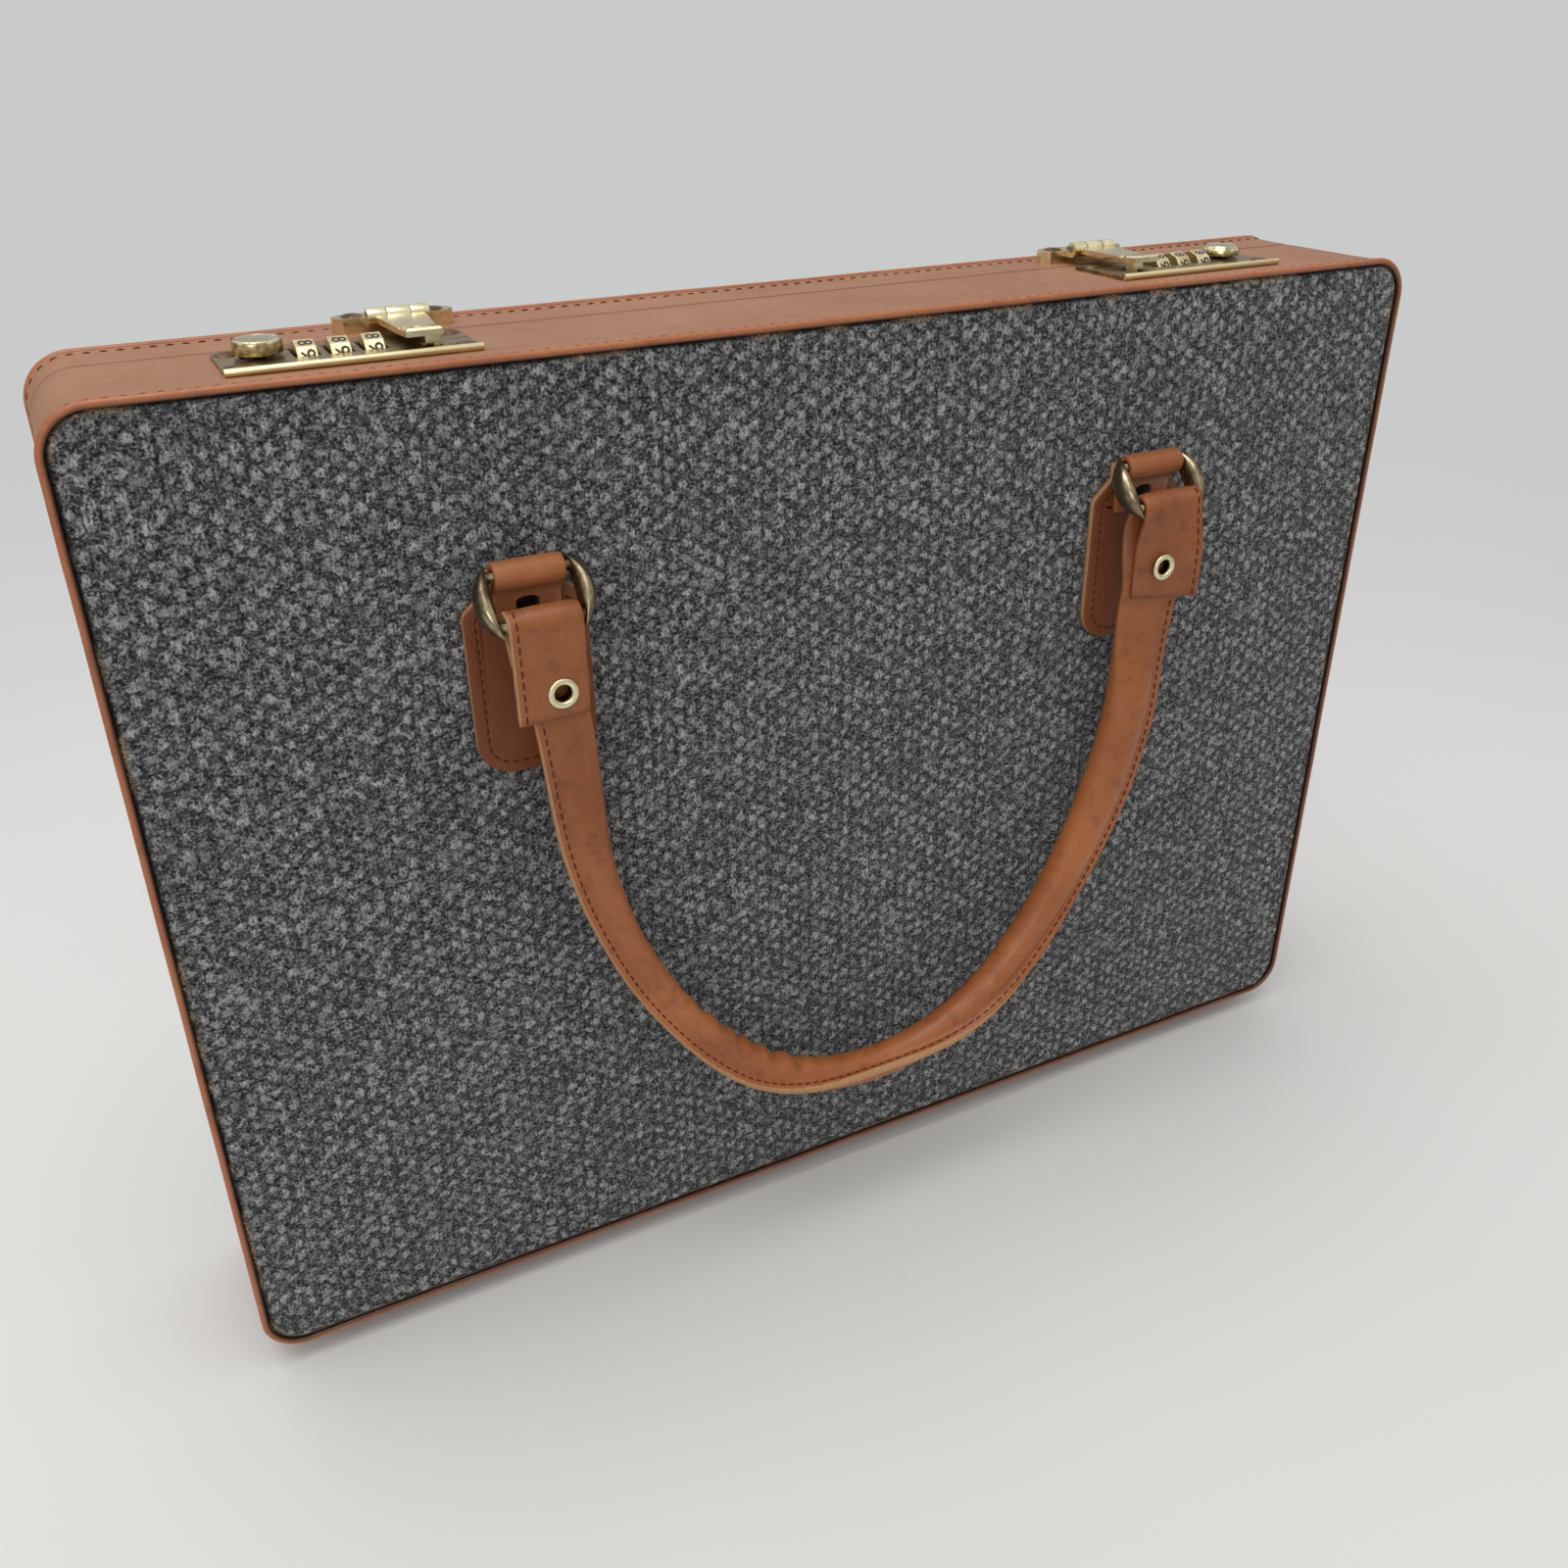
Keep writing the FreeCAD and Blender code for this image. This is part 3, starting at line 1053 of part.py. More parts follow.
handle = new_body("front_handle")
tube = sweep_handle(handle, TUBE_TOP, draw_rolled, "handle_radius", "welt_wall", "welt_reach")
flap_ends = (f"{RING_X} - flap_width / 2", f"{RING_X} + flap_width / 2")
flap = add(
    handle, "YZ_Plane", *flap_ends, draw_polygon,
    (
        (FLAP_BACK, FLAP_LOW),
        (FLAP_BACK, f"{FLAP_TOP} - {LOOP_RADIUS}"),
        (f"{HANDLE_Y} + 0.9 * {LOOP_RADIUS}", FLAP_TOP),
        (f"{HANDLE_Y} - 0.9 * {LOOP_RADIUS}", FLAP_TOP),
        (FLAP_FRONT, f"{FLAP_TOP} - {LOOP_RADIUS}"),
        (FLAP_FRONT, FLAP_LOW),
    ),
)
fold = add(handle, "YZ_Plane", *flap_ends, draw_circle, HANDLE_Y, HANDLE_Z, LOOP_RADIUS)
bore_line = sweep_handle(handle, CORE_TOP, draw_circle, HANDLE_Y, GRIP_LOW, "handle_core", cut=True)
other_side = handle.newObject("PartDesign::Mirrored", "front_handle_other_side")
handle.Tip = other_side
other_side.Originals = [tube, flap, fold, bore_line]
middle_plane = next(item for item in handle.Origin.OriginFeatures if item.Role == "YZ_Plane")
other_side.MirrorPlane = (middle_plane, [""])
document.recompute()
handle_ends = ("-handle_span", "handle_span")
cut(handle, "YZ_Plane", *handle_ends, draw_circle, HANDLE_Y, HANDLE_Z, "ring_bar + loop_play")
EYELET_X = f"({RING_X} - eyelet_inset)"
EYELET_Z = f"({HANDLE_Z} - eyelet_drop)"
for side in ("-", ""):
    cut(
        handle, "XZ_Plane", f"{FLAP_FRONT} - 1", f"{FLAP_FRONT} + eyelet_depth",
        draw_circle, f"{side}{EYELET_X}", EYELET_Z, "eyelet_barrel + running_fit",
    )

# Cord core inside the rolled handle
core = new_body("front_handle_core")
core_line = sweep_handle(core, CORE_TOP, draw_circle, HANDLE_Y, GRIP_LOW, "handle_core")
core_mirror = core.newObject("PartDesign::Mirrored", "front_handle_core_other_side")
core.Tip = core_mirror
core_mirror.Originals = [core_line]
core_plane = next(item for item in core.Origin.OriginFeatures if item.Role == "YZ_Plane")
core_mirror.MirrorPlane = (core_plane, [""])
document.recompute()

# Eyelets: a washer and a tube through each folded end
eyelets = []
for side, tag in (("-", "left"), ("", "right")):
    parts = []
    for part, radius, start, length in (
        ("washer", "eyelet_radius", f"{FLAP_FRONT} - eyelet_wall", "eyelet_wall"),
        ("tube", "eyelet_barrel", f"{FLAP_FRONT} - eyelet_wall", "eyelet_wall + eyelet_depth - 0.5"),
        ("hole", "eyelet_bore", f"{FLAP_FRONT} - eyelet_wall - 1", "eyelet_depth + 2"),
    ):
        item = document.addObject("Part::Cylinder", f"front_eyelet_{tag}_{part}")
        item.Placement.Rotation = FreeCAD.Rotation(FreeCAD.Vector(1, 0, 0), -90)
        place(item, f"{side}{EYELET_X}", start, EYELET_Z)
        bind(item, Radius=radius, Height=length)
        parts.append(item)
    whole = join(f"front_eyelet_{tag}_ring", parts[:2])
    eyelets.append(take(f"front_eyelet_{tag}", whole, parts[2]))
group("front_eyelets", eyelets)

# Rivets through the tabs
tab_rivets = []
for side in ("-", ""):
    tag = f"front_tab_rivet_{'left' if side else 'right'}"
    dome = document.addObject("Part::Ellipsoid", tag)
    dome.Placement.Rotation = FreeCAD.Rotation(FreeCAD.Vector(1, 0, 0), 90)
    place(dome, f"{side}{RING_X}", f"{TAB_Y} - strap_wall", f"{BASE} + tab_rivet")
    bind(dome, Radius1="rivet_rise", Radius2="rivet_radius + 0.6", Radius3="rivet_radius + 0.6")
    dome.Angle1 = 0
    tab_rivets.append(dome)
group("front_tab_rivets", tab_rivets)

# The back face has the same handle, on the lid
for name in ("tab_left", "tab_right", "ring_left", "ring_right", "handle", "handle_core", "eyelets",
             "tab_rivets"):
    keep(f"back_{name}", mirrored(f"back_{name}", pieces[f"front_{name}"], FRONT_TO_BACK))

document.recompute()
for item in document.Objects:
    if "Invalid" in item.State or "Error" in item.State:
        raise ValueError(f"{item.Label} is {item.State}")
os.makedirs("parts", exist_ok=True)
for name, item in pieces.items():
    if item.Shape.isNull() or not item.Shape.isValid() or not item.Shape.Solids:
        raise ValueError(f"{name} has no valid shape")
for name, item in pieces.items():
    item.Shape.exportStep(f"parts/{name}.step")
print(len(pieces), "pieces", sum(len(item.Shape.Solids) for item in pieces.values()), "solids")
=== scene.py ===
import bmesh
import bpy
import math
import numpy as np
from mathutils import Matrix, Vector, noise


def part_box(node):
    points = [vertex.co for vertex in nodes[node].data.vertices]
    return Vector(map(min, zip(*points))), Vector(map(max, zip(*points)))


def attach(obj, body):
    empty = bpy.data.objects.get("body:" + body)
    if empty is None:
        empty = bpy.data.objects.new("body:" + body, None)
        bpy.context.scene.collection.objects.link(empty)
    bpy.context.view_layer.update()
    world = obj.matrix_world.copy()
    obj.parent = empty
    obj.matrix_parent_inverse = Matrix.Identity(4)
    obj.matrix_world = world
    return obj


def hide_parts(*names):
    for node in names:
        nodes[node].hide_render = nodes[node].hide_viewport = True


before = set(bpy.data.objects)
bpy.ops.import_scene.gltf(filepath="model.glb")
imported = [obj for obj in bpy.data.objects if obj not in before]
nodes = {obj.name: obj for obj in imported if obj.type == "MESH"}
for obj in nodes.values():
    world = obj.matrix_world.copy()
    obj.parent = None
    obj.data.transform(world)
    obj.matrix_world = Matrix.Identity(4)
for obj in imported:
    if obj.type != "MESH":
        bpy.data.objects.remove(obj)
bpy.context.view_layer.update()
MM = 0.001

# The camera stands to the left of the case and above it, as in the photograph, and sees the
# large front face, the band on top and a little of the left end.
CAMERA_PLACE = Vector((-0.2175, -0.4104, 0.4064))
TO_THE_RIGHT = Vector((0.8901, -0.4557, -0.0098))
DOWNWARD = Vector((-0.2253, -0.4211, -0.8786))
FORWARD = Vector((0.3962, 0.7842, -0.4775))
camera = bpy.data.objects.new("camera", bpy.data.cameras.new("camera"))
bpy.context.scene.collection.objects.link(camera)
camera.data.sensor_width = 36
camera.data.lens = 32.87
camera.data.clip_end = 20
view = Matrix((TO_THE_RIGHT, -DOWNWARD, -FORWARD)).transposed().to_4x4()
view.translation = CAMERA_PLACE
camera.matrix_world = view
bpy.context.scene.camera = camera
bpy.context.scene.view_settings.view_transform = "Standard"


# A large soft box overhead and a weaker one by the camera, in a pale room. The room is darker
# low down, so that brass has something to reflect.
def linear(code):
    """The linear colour of an sRGB hex code."""
    parts = [int(code[i:i + 2], 16) / 255 for i in (1, 3, 5)]
    return [c / 12.92 if c <= 0.04045 else ((c + 0.055) / 1.055) ** 2.4 for c in parts] + [1.0]


def add_node(tree, kind, inputs=(), **settings):
    """A shader node. An input is given by its name or number, as a value or another's output."""
    item = tree.nodes.new("ShaderNode" + kind)
    for name, setting in settings.items():
        setattr(item, name, setting)
    for name, given in dict(inputs).items():
        if isinstance(given, bpy.types.NodeSocket):
            tree.links.new(given, item.inputs[name])
        else:
            item.inputs[name].default_value = given
    return item


def soft_box(name, place, target, width, height, power):
    data = bpy.data.lights.new(name, "AREA")
    data.shape = "RECTANGLE"
    data.size, data.size_y, data.energy = width, height, power
    lamp = bpy.data.objects.new(name, data)
    lamp.location = place
    lamp.rotation_euler = (Vector(target) - Vector(place)).to_track_quat("-Z", "Y").to_euler()
    bpy.context.scene.collection.objects.link(lamp)


CASE_MIDDLE = (0, 0, 0.17)
soft_box("overhead", (-0.35, -0.15, 1.75), CASE_MIDDLE, 1.5, 1.1, 14)
soft_box("by_the_camera", (-1.0, -1.4, 0.9), CASE_MIDDLE, 0.9, 0.9, 6.5)

room = bpy.data.worlds.new("pale room")
bpy.context.scene.world = room
room.use_nodes = True
tree = room.node_tree
tree.nodes.clear()
direction = add_node(tree, "TexCoord").outputs["Generated"]
height = add_node(tree, "SeparateXYZ", {"Vector": direction}).outputs["Z"]
rise = add_node(tree, "MapRange", {"Value": height, "From Min": 0.05, "From Max": 0.5,
                                   "To Min": 0.22, "To Max": 0.88}).outputs[0]
walls = add_node(tree, "Background", {"Color": linear("#F4F4F6"), "Strength": rise})
seen = add_node(tree, "Background", {"Color": linear("#C9CBCB"), "Strength": 1.0})
ray = add_node(tree, "LightPath").outputs["Is Camera Ray"]
both = add_node(tree, "MixShader", {0: ray, 1: walls.outputs[0], 2: seen.outputs[0]})
add_node(tree, "OutputWorld", {"Surface": both.outputs[0]})


# The table: a plain pale board, matt, with the case's soft shadow on it
def new_material(name, **values):
    """A material with its shader's own settings, and its node tree and shader."""
    material = bpy.data.materials.new(name)
    material.use_nodes = True
    shader = material.node_tree.nodes["Principled BSDF"]
    for socket, value in values.items():
        shader.inputs[socket.replace("_", " ")].default_value = value
    return material, material.node_tree, shader


def add_mesh(name, points, faces, *materials):
    """A smooth-shaded mesh object in the row frame."""
    mesh = bpy.data.meshes.new(name)
    mesh.from_pydata([tuple(p) for p in points], [], faces)
    for material in materials:
        mesh.materials.append(material)
    mesh.shade_smooth()
    item = bpy.data.objects.new(name, mesh)
    bpy.context.scene.collection.objects.link(item)
    return item


TABLE_HALF = 30.0
table_paint, tree, shader = new_material("matt table paint", Roughness=0.55, IOR=1.45)
place = add_node(tree, "TexCoord").outputs["Object"]
cloud = add_node(tree, "TexNoise", {"Vector": place, "Scale": 1000 / 400, "Detail": 3.0})
paint = add_node(tree, "MixRGB", {"Fac": cloud.outputs[0], "Color1": linear("#CDCDCA"),
                                  "Color2": linear("#D8D8D4")})
tree.links.new(paint.outputs[0], shader.inputs["Base Color"])
distance = add_node(tree, "VectorMath", {0: place}, operation="LENGTH").outputs["Value"]
far = add_node(tree, "MapRange", {"Value": distance, "From Min": 0.3, "From Max": 1.5},
               interpolation_type="SMOOTHSTEP").outputs[0]
ray = add_node(tree, "LightPath").outputs["Is Camera Ray"]
far = add_node(tree, "Math", {0: far, 1: ray}, operation="MULTIPLY").outputs[0]
pale = add_node(tree, "Emission", {"Color": linear("#C9CBCB"), "Strength": 1.0})
both = add_node(tree, "MixShader", {0: far, 1: shader.outputs[0], 2: pale.outputs[0]})
tree.links.new(both.outputs[0], tree.nodes["Material Output"].inputs["Surface"])
corners = [(-TABLE_HALF, -TABLE_HALF, 0), (TABLE_HALF, -TABLE_HALF, 0),
           (TABLE_HALF, TABLE_HALF, 0), (-TABLE_HALF, TABLE_HALF, 0)]
table = add_mesh("table", corners, [(0, 1, 2, 3)], table_paint)


# Rims and boards: each half is a frame of 6 mm poplar with a 3 mm fibreboard panel. Both are
# covered, and show only at the lock openings inside, so their CAD solids stay.
def dress(names, material):
    """Gives CAD nodes their material."""
    for name in names:
        nodes[name].data.materials.clear()
        nodes[name].data.materials.append(material)


def coordinates(tree, *stretch):
    """Object coordinates, stretched where the grain or brushing has a direction."""
    place = add_node(tree, "TexCoord").outputs["Object"]
    if not stretch:
        return place
    return add_node(tree, "Mapping", {"Vector": place, "Scale": stretch}).outputs[0]


def two_tone(tree, shader, factor, first, second):
    """The shader's colour runs from the first to the second hex colour."""
    blend = add_node(tree, "MixRGB", {"Fac": factor, "Color1": linear(first), "Color2": linear(second)})
    tree.links.new(blend.outputs[0], shader.inputs["Base Color"])
    return blend


poplar, tree, shader = new_material("sawn poplar", Roughness=0.7, IOR=1.5)
grain = add_node(tree, "TexNoise", {"Vector": coordinates(tree, 0.1, 1, 1), "Scale": 1000 / 2.5})
two_tone(tree, shader, grain.outputs[0], "#C9AC7E", "#A98757")
dress(["body_rim", "lid_rim"], poplar)
fibreboard, tree, shader = new_material("pressed fibreboard", Roughness=0.85)
fleck = add_node(tree, "TexNoise", {"Vector": coordinates(tree), "Scale": 1000 / 1.2})
two_tone(tree, shader, fleck.outputs[0], "#7B6347", "#5C4A35")
dress(["body_board", "lid_board"], fibreboard)

# Tweed panels: a coarse woollen cloth glued over thin padding on each large face. Pale grey
# nubs stand in columns on a charcoal ground, and the edge is rolled under the piping.
CASE_WIDTH = 450 * MM
CASE_LOW, CASE_HIGH = 6.5 * MM, 327.5 * MM
CORNER = 15 * MM
CLOTH_FRONT = 33.2 * MM
CLOTH_THICK = 1.2 * MM
CLOTH_INSET = 3.45 * MM
CLOTH_STEP = 0.9 * MM
COLUMN_PITCH = 4.0 * MM
NUB_PITCH = 5.45 * MM
NUB_HALF = (1.45 * MM, 1.6 * MM)
NUB_HEIGHT = 0.6 * MM
NUB_WANDER = 0.34 * MM
ROLL_WIDTH = 2.4 * MM
ROLL_DROP = 1.0 * MM


def wander(x, z, seed):
    """A smooth random field over the cloth, about 1.7 mm from bump to bump."""
    rng = np.random.default_rng(seed)
    pitch = 1.7 * MM
    table = rng.normal(0, 1, (int(CASE_WIDTH / pitch) + 6, int(CASE_HIGH / pitch) + 6))
    across, up = (x + CASE_WIDTH / 2) / pitch + 1, z / pitch + 1
    i, j = np.floor(across).astype(int), np.floor(up).astype(int)
    s, t = across - i, up - j
    s, t = s * s * (3 - 2 * s), t * t * (3 - 2 * t)
    low = table[i, j] * (1 - s) + table[i + 1, j] * s
    high = table[i, j + 1] * (1 - s) + table[i + 1, j + 1] * s
    return low * (1 - t) + high * t


def nub_field(x, z, seed):
    """For each point, its distance from the nearest nub in nub radii, and that nub's tone."""
    rng = np.random.default_rng(seed)
    columns, rows = int(CASE_WIDTH / COLUMN_PITCH) + 4, int(CASE_HIGH / NUB_PITCH) + 4
    shift_x = rng.normal(0, 0.11 * COLUMN_PITCH, (columns, rows))
    shift_z = rng.normal(0, 0.09 * NUB_PITCH, (columns, rows))
    wide = rng.uniform(0.7, 1.2, (columns, rows))
    tall = rng.uniform(0.72, 1.18, (columns, rows))
    lean = rng.uniform(-0.2, 0.2, (columns, rows))
    tone = rng.uniform(0, 1, (columns, rows))
    x = x + NUB_WANDER * wander(x, z, seed + 100)
    z = z + NUB_WANDER * wander(x, z, seed + 200)
    across = (x + CASE_WIDTH / 2) / COLUMN_PITCH
    nearest = np.full(x.shape, 9.0)
    nearest_tone = np.zeros(x.shape)
    for step_x in (-1, 0, 1):
        column = np.clip(np.floor(across).astype(int) + step_x, 0, columns - 1)
        up = z / NUB_PITCH - 0.5 * (column % 2)
        for step_z in (-1, 0, 1):
            row = np.clip(np.floor(up).astype(int) + step_z, 0, rows - 1)
            nub_x = (column + 0.5) * COLUMN_PITCH + shift_x[column, row] - CASE_WIDTH / 2
            nub_z = (row + 0.5 + 0.5 * (column % 2)) * NUB_PITCH + shift_z[column, row]
            off_x, off_z = x - nub_x, z - nub_z
            off_x = abs(off_x + lean[column, row] * off_z) / NUB_HALF[0] / wide[column, row]
            off_z = abs(off_z) / NUB_HALF[1] / tall[column, row]
            away = (off_x ** 2.7 + off_z ** 2.7) ** (1 / 2.7)
            closer = away < nearest
            nearest = np.where(closer, away, nearest)
            nearest_tone = np.where(closer, tone[column, row], nearest_tone)
    return nearest, nearest_tone


def tweed_panel(name, side, seed, material):
    """The cloth of the front (side -1) or the back (side 1), with its weave standing proud."""
    half = CASE_WIDTH / 2 - CLOTH_INSET
    low, high = CASE_LOW + CLOTH_INSET, CASE_HIGH - CLOTH_INSET
    turn = CORNER - CLOTH_INSET
    across, up = int(2 * half / CLOTH_STEP), int((high - low) / CLOTH_STEP)
    z = np.linspace(low, high, up + 1)[:, None] + np.zeros((1, across + 1))
    edge = np.clip(turn - np.minimum(z - low, high - z), 0, turn)
    x = np.linspace(-1, 1, across + 1)[None, :] * (half - turn + np.sqrt(turn ** 2 - edge ** 2))
    limit = half - turn + np.sqrt(turn ** 2 - edge ** 2)
    border = np.minimum(limit - abs(x), np.minimum(z - low, high - z))
    away, tone = nub_field(x, z, seed)
    lift = NUB_HEIGHT * (0.35 + 0.65 * tone) * np.clip(1.15 - away ** 2, 0, 1)
    weft = 0.12 * MM * np.sin(2 * math.pi * z / NUB_PITCH * 2)
    roll = ROLL_DROP * np.clip(1 - border / ROLL_WIDTH, 0, 1) ** 2
    y = side * (CLOTH_FRONT - 0.25 * MM + lift + weft - roll)
    width = across + 1
    front = np.stack((x, y, z), -1).reshape(-1, 3)
    index = np.arange(front.shape[0]).reshape(up + 1, width)
    ring = list(index[0]) + list(index[1:, -1]) + list(index[-1, -2::-1]) + list(index[-2:0:-1, 0])
    back = front[ring].copy()
    back[:, 1] = side * (CLOTH_FRONT - CLOTH_THICK)
    start = len(front)
    count = len(ring)
    faces = []
    for row in range(up):
        for column in range(across):
            a, b = index[row, column], index[row, column + 1]
            c, d = index[row + 1, column + 1], index[row + 1, column]
            faces.append((a, b, c, d) if side < 0 else (d, c, b, a))
    for k in range(count):
        a, b = ring[k], ring[(k + 1) % count]
        c, d = start + (k + 1) % count, start + k
        faces.append((b, a, d, c) if side < 0 else (a, b, c, d))
    cap = [start + k for k in range(count)]
    faces.append(tuple(cap[::-1]) if side < 0 else tuple(cap))
    faces = [tuple(int(i) for i in face) for face in faces]
    item = add_mesh(name, np.concatenate((front, back)), faces, material)
    for label, values in (("nub_distance", away), ("nub_tone", tone), ("border", border)):
        attribute = item.data.attributes.new(label, "FLOAT", "POINT")
        full = np.concatenate((values.ravel(), np.full(count, values.ravel()[ring[0]])))
        attribute.data.foreach_set("value", full.astype(np.float32))
    return item


# Wool: matt, hairy yarn. The pale nubs fray into the ground, which has black gaps between
# charcoal threads; sheen stands for the loose fibres.
tweed, tree, shader = new_material("woollen tweed", Roughness=0.92, Sheen_Weight=0.06,
                                   Sheen_Roughness=0.6, Specular_IOR_Level=0.12)


def yarn(tree, size, stretch, detail=4.0):
    """Uneven yarn: noise of this size in mm, stretched along the thread."""
    return add_node(tree, "TexNoise", {"Vector": coordinates(tree, *stretch), "Scale": 1000 / size,
                                       "Detail": detail, "Roughness": 0.65}).outputs[0]


def between(tree, value, low, high, first=0.0, last=1.0):
    """The value, stretched from low..high to first..last and kept inside."""
    return add_node(tree, "MapRange", {"Value": value, "From Min": low, "From Max": high,
                                       "To Min": first, "To Max": last}).outputs[0]


away = add_node(tree, "Attribute", attribute_name="nub_distance").outputs["Fac"]
tone = add_node(tree, "Attribute", attribute_name="nub_tone").outputs["Fac"]
border = add_node(tree, "Attribute", attribute_name="border").outputs["Fac"]
fibres = yarn(tree, 0.9, (1, 1, 1))
tufts = yarn(tree, 1.7, (1, 1, 1), 3.0)
upright = yarn(tree, 1.1, (1.6, 1, 0.7))
level = yarn(tree, 1.5, (0.65, 1, 1.5))
frayed = add_node(tree, "Math", {0: fibres, 1: 3.4, 2: away}, operation="MULTIPLY_ADD").outputs[0]
frayed = add_node(tree, "Math", {0: tufts, 1: 2.4, 2: frayed}, operation="MULTIPLY_ADD").outputs[0]
pale = between(tree, frayed, 3.5, 4.15, 1.0, 0.0)
strength = between(tree, tone, 0.0, 0.6, 0.4, 0.95)
pale = add_node(tree, "Math", {0: pale, 1: strength}, operation="MULTIPLY").outputs[0]


def mixed(tree, factor, first, second):
    """Two colours, each a hex code or a node's output, mixed by a factor."""
    given = {"Fac": factor}
    for name, colour in (("Color1", first), ("Color2", second)):
        given[name] = linear(colour) if isinstance(colour, str) else colour
    return add_node(tree, "MixRGB", given).outputs[0]


ground = mixed(tree, between(tree, level, 0.40, 0.58), "#151617", "#4B4C4D")
hairs = between(tree, yarn(tree, 1.0, (1, 1, 1)), 0.51, 0.62, 0.0, 0.85)
ground = mixed(tree, hairs, ground, "#8A8B8A")
nub = mixed(tree, between(tree, upright, 0.36, 0.58), "#6C6D6B", "#ABACA9")
gaps = between(tree, yarn(tree, 1.15, (1.2, 1, 0.9)), 0.39, 0.48, 0.85, 0.0)
wool = mixed(tree, gaps, mixed(tree, pale, ground, nub), "#0D0D0E")
# The last millimetre beside the piping is painted dark as the piping's shade, and in places
# frays into undyed beige threads
ragged = add_node(tree, "TexNoise", {"Vector": coordinates(tree), "Scale": 1000 / 14,
                                     "Detail": 4.0}).outputs[0]
wool = mixed(tree, between(tree, border, 0.4 * MM, 1.2 * MM, 0.9, 0.0), wool, "#100B08")
edge = between(tree, border, 1.0 * MM, 1.9 * MM, 1.0, 0.0)
edge = add_node(tree, "Math", {0: edge, 1: between(tree, ragged, 0.5, 0.6)},
                operation="MULTIPLY").outputs[0]
threads = add_node(tree, "Math", {0: edge, 1: between(tree, fibres, 0.42, 0.6)},
                   operation="MULTIPLY").outputs[0]
wool = mixed(tree, threads, wool, "#A08A68")
tree.links.new(wool, shader.inputs["Base Color"])
fuzz = add_node(tree, "Bump", {"Height": fibres, "Strength": 0.9, "Distance": 0.55 * MM})
tree.links.new(fuzz.outputs[0], shader.inputs["Normal"])

for half, side, seed, body in (("body", -1, 11, "case_body"), ("lid", 1, 12, "lid")):
    cloth = tweed_panel(f"{half}_tweed_cloth", side, seed, tweed)
    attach(cloth, body)
    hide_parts(f"{half}_tweed")


# Leather bands: one strip of tan leather glued round each rim, turned over its edge at the
# parting line, and sewn to the piping 6 mm behind it with dark waxed thread.
def outline(inset, step=4 * MM):
    """Places and outward directions along the case's outline, drawn in from the piping."""
    radius = max(CORNER - inset, 2 * MM)
    half = CASE_WIDTH / 2 - inset
    low, high = CASE_LOW + inset, CASE_HIGH - inset
    wide = max(2, int(2 * (CASE_WIDTH / 2 - CORNER) / step))
    tall = max(2, int((CASE_HIGH - CASE_LOW - 2 * CORNER) / step))
    turn = max(6, int(math.pi / 2 * CORNER / step * 1.8))
    centres = ((half - radius, low + radius), (half - radius, high - radius),
               (radius - half, high - radius), (radius - half, low + radius))
    places, outward = [], []
    for number, (x, z) in enumerate(centres):
        first = (number - 1) * math.pi / 2
        for k in range(turn):
            angle = first + math.pi / 2 * k / turn
            out = (math.cos(angle), math.sin(angle))
            places.append((x + radius * out[0], z + radius * out[1]))
            outward.append(out)
        after = centres[(number + 1) % 4]
        out = (round(math.cos(first + math.pi / 2)), round(math.sin(first + math.pi / 2)))
        begin = (x + radius * out[0], z + radius * out[1])
        finish = (after[0] + radius * out[0], after[1] + radius * out[1])
        count = tall if number % 2 == 0 else wide
        for k in range(count):
            t = k / count
            places.append((begin[0] + (finish[0] - begin[0]) * t, begin[1] + (finish[1] - begin[1]) * t))
            outward.append(out)
    return np.array(places), np.array(outward)


def loft(name, rows, *materials, round_rows=False, caps=False, edge_columns=()):
    """A mesh through rows of points. Each row is a closed loop, and edge_columns names the
    faces, by column, that get the second material."""
    rows = np.asarray(rows, float)
    count, width = rows.shape[:2]
    faces, kinds = [], []
    for row in range(count if round_rows else count - 1):
        for column in range(width):
            after, beside = (row + 1) % count, (column + 1) % width
            faces.append((row * width + column, row * width + beside,
                          after * width + beside, after * width + column))
            kinds.append(1 if column in edge_columns else 0)
    if caps:
        faces.append(tuple(range(width - 1, -1, -1)))
        faces.append(tuple((count - 1) * width + column for column in range(width)))
        kinds += [1 if edge_columns else 0] * 2
    item = add_mesh(name, rows.reshape(-1, 3), faces, *materials)
    item.data.polygons.foreach_set("material_index", kinds)
    return item


def merged(name, parts):
    """One mesh object out of several that share their materials."""
    points, faces, kinds = [], [], []
    for part in parts:
        first = len(points)
        points += [tuple(v.co) for v in part.data.vertices]
        faces += [tuple(first + i for i in polygon.vertices) for polygon in part.data.polygons]
        kinds += [polygon.material_index for polygon in part.data.polygons]
    item = add_mesh(name, points, faces, *parts[0].data.materials)
    item.data.polygons.foreach_set("material_index", kinds)
    for part in parts:
        bpy.data.objects.remove(part)
    item.name = name
    return item


def tidy_normals(item):
    """Makes the faces of a closed mesh look outwards."""
    work = bmesh.new()
    work.from_mesh(item.data)
    bmesh.ops.recalc_face_normals(work, faces=work.faces)
    work.to_mesh(item.data)
    work.free()


def settle(item, body, slot, *stands_for):
    """The piece rides on its body and stands for these CAD nodes; the slot is not used."""
    tidy_normals(item)
    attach(item, body)
    if stands_for:
        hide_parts(*stands_for)


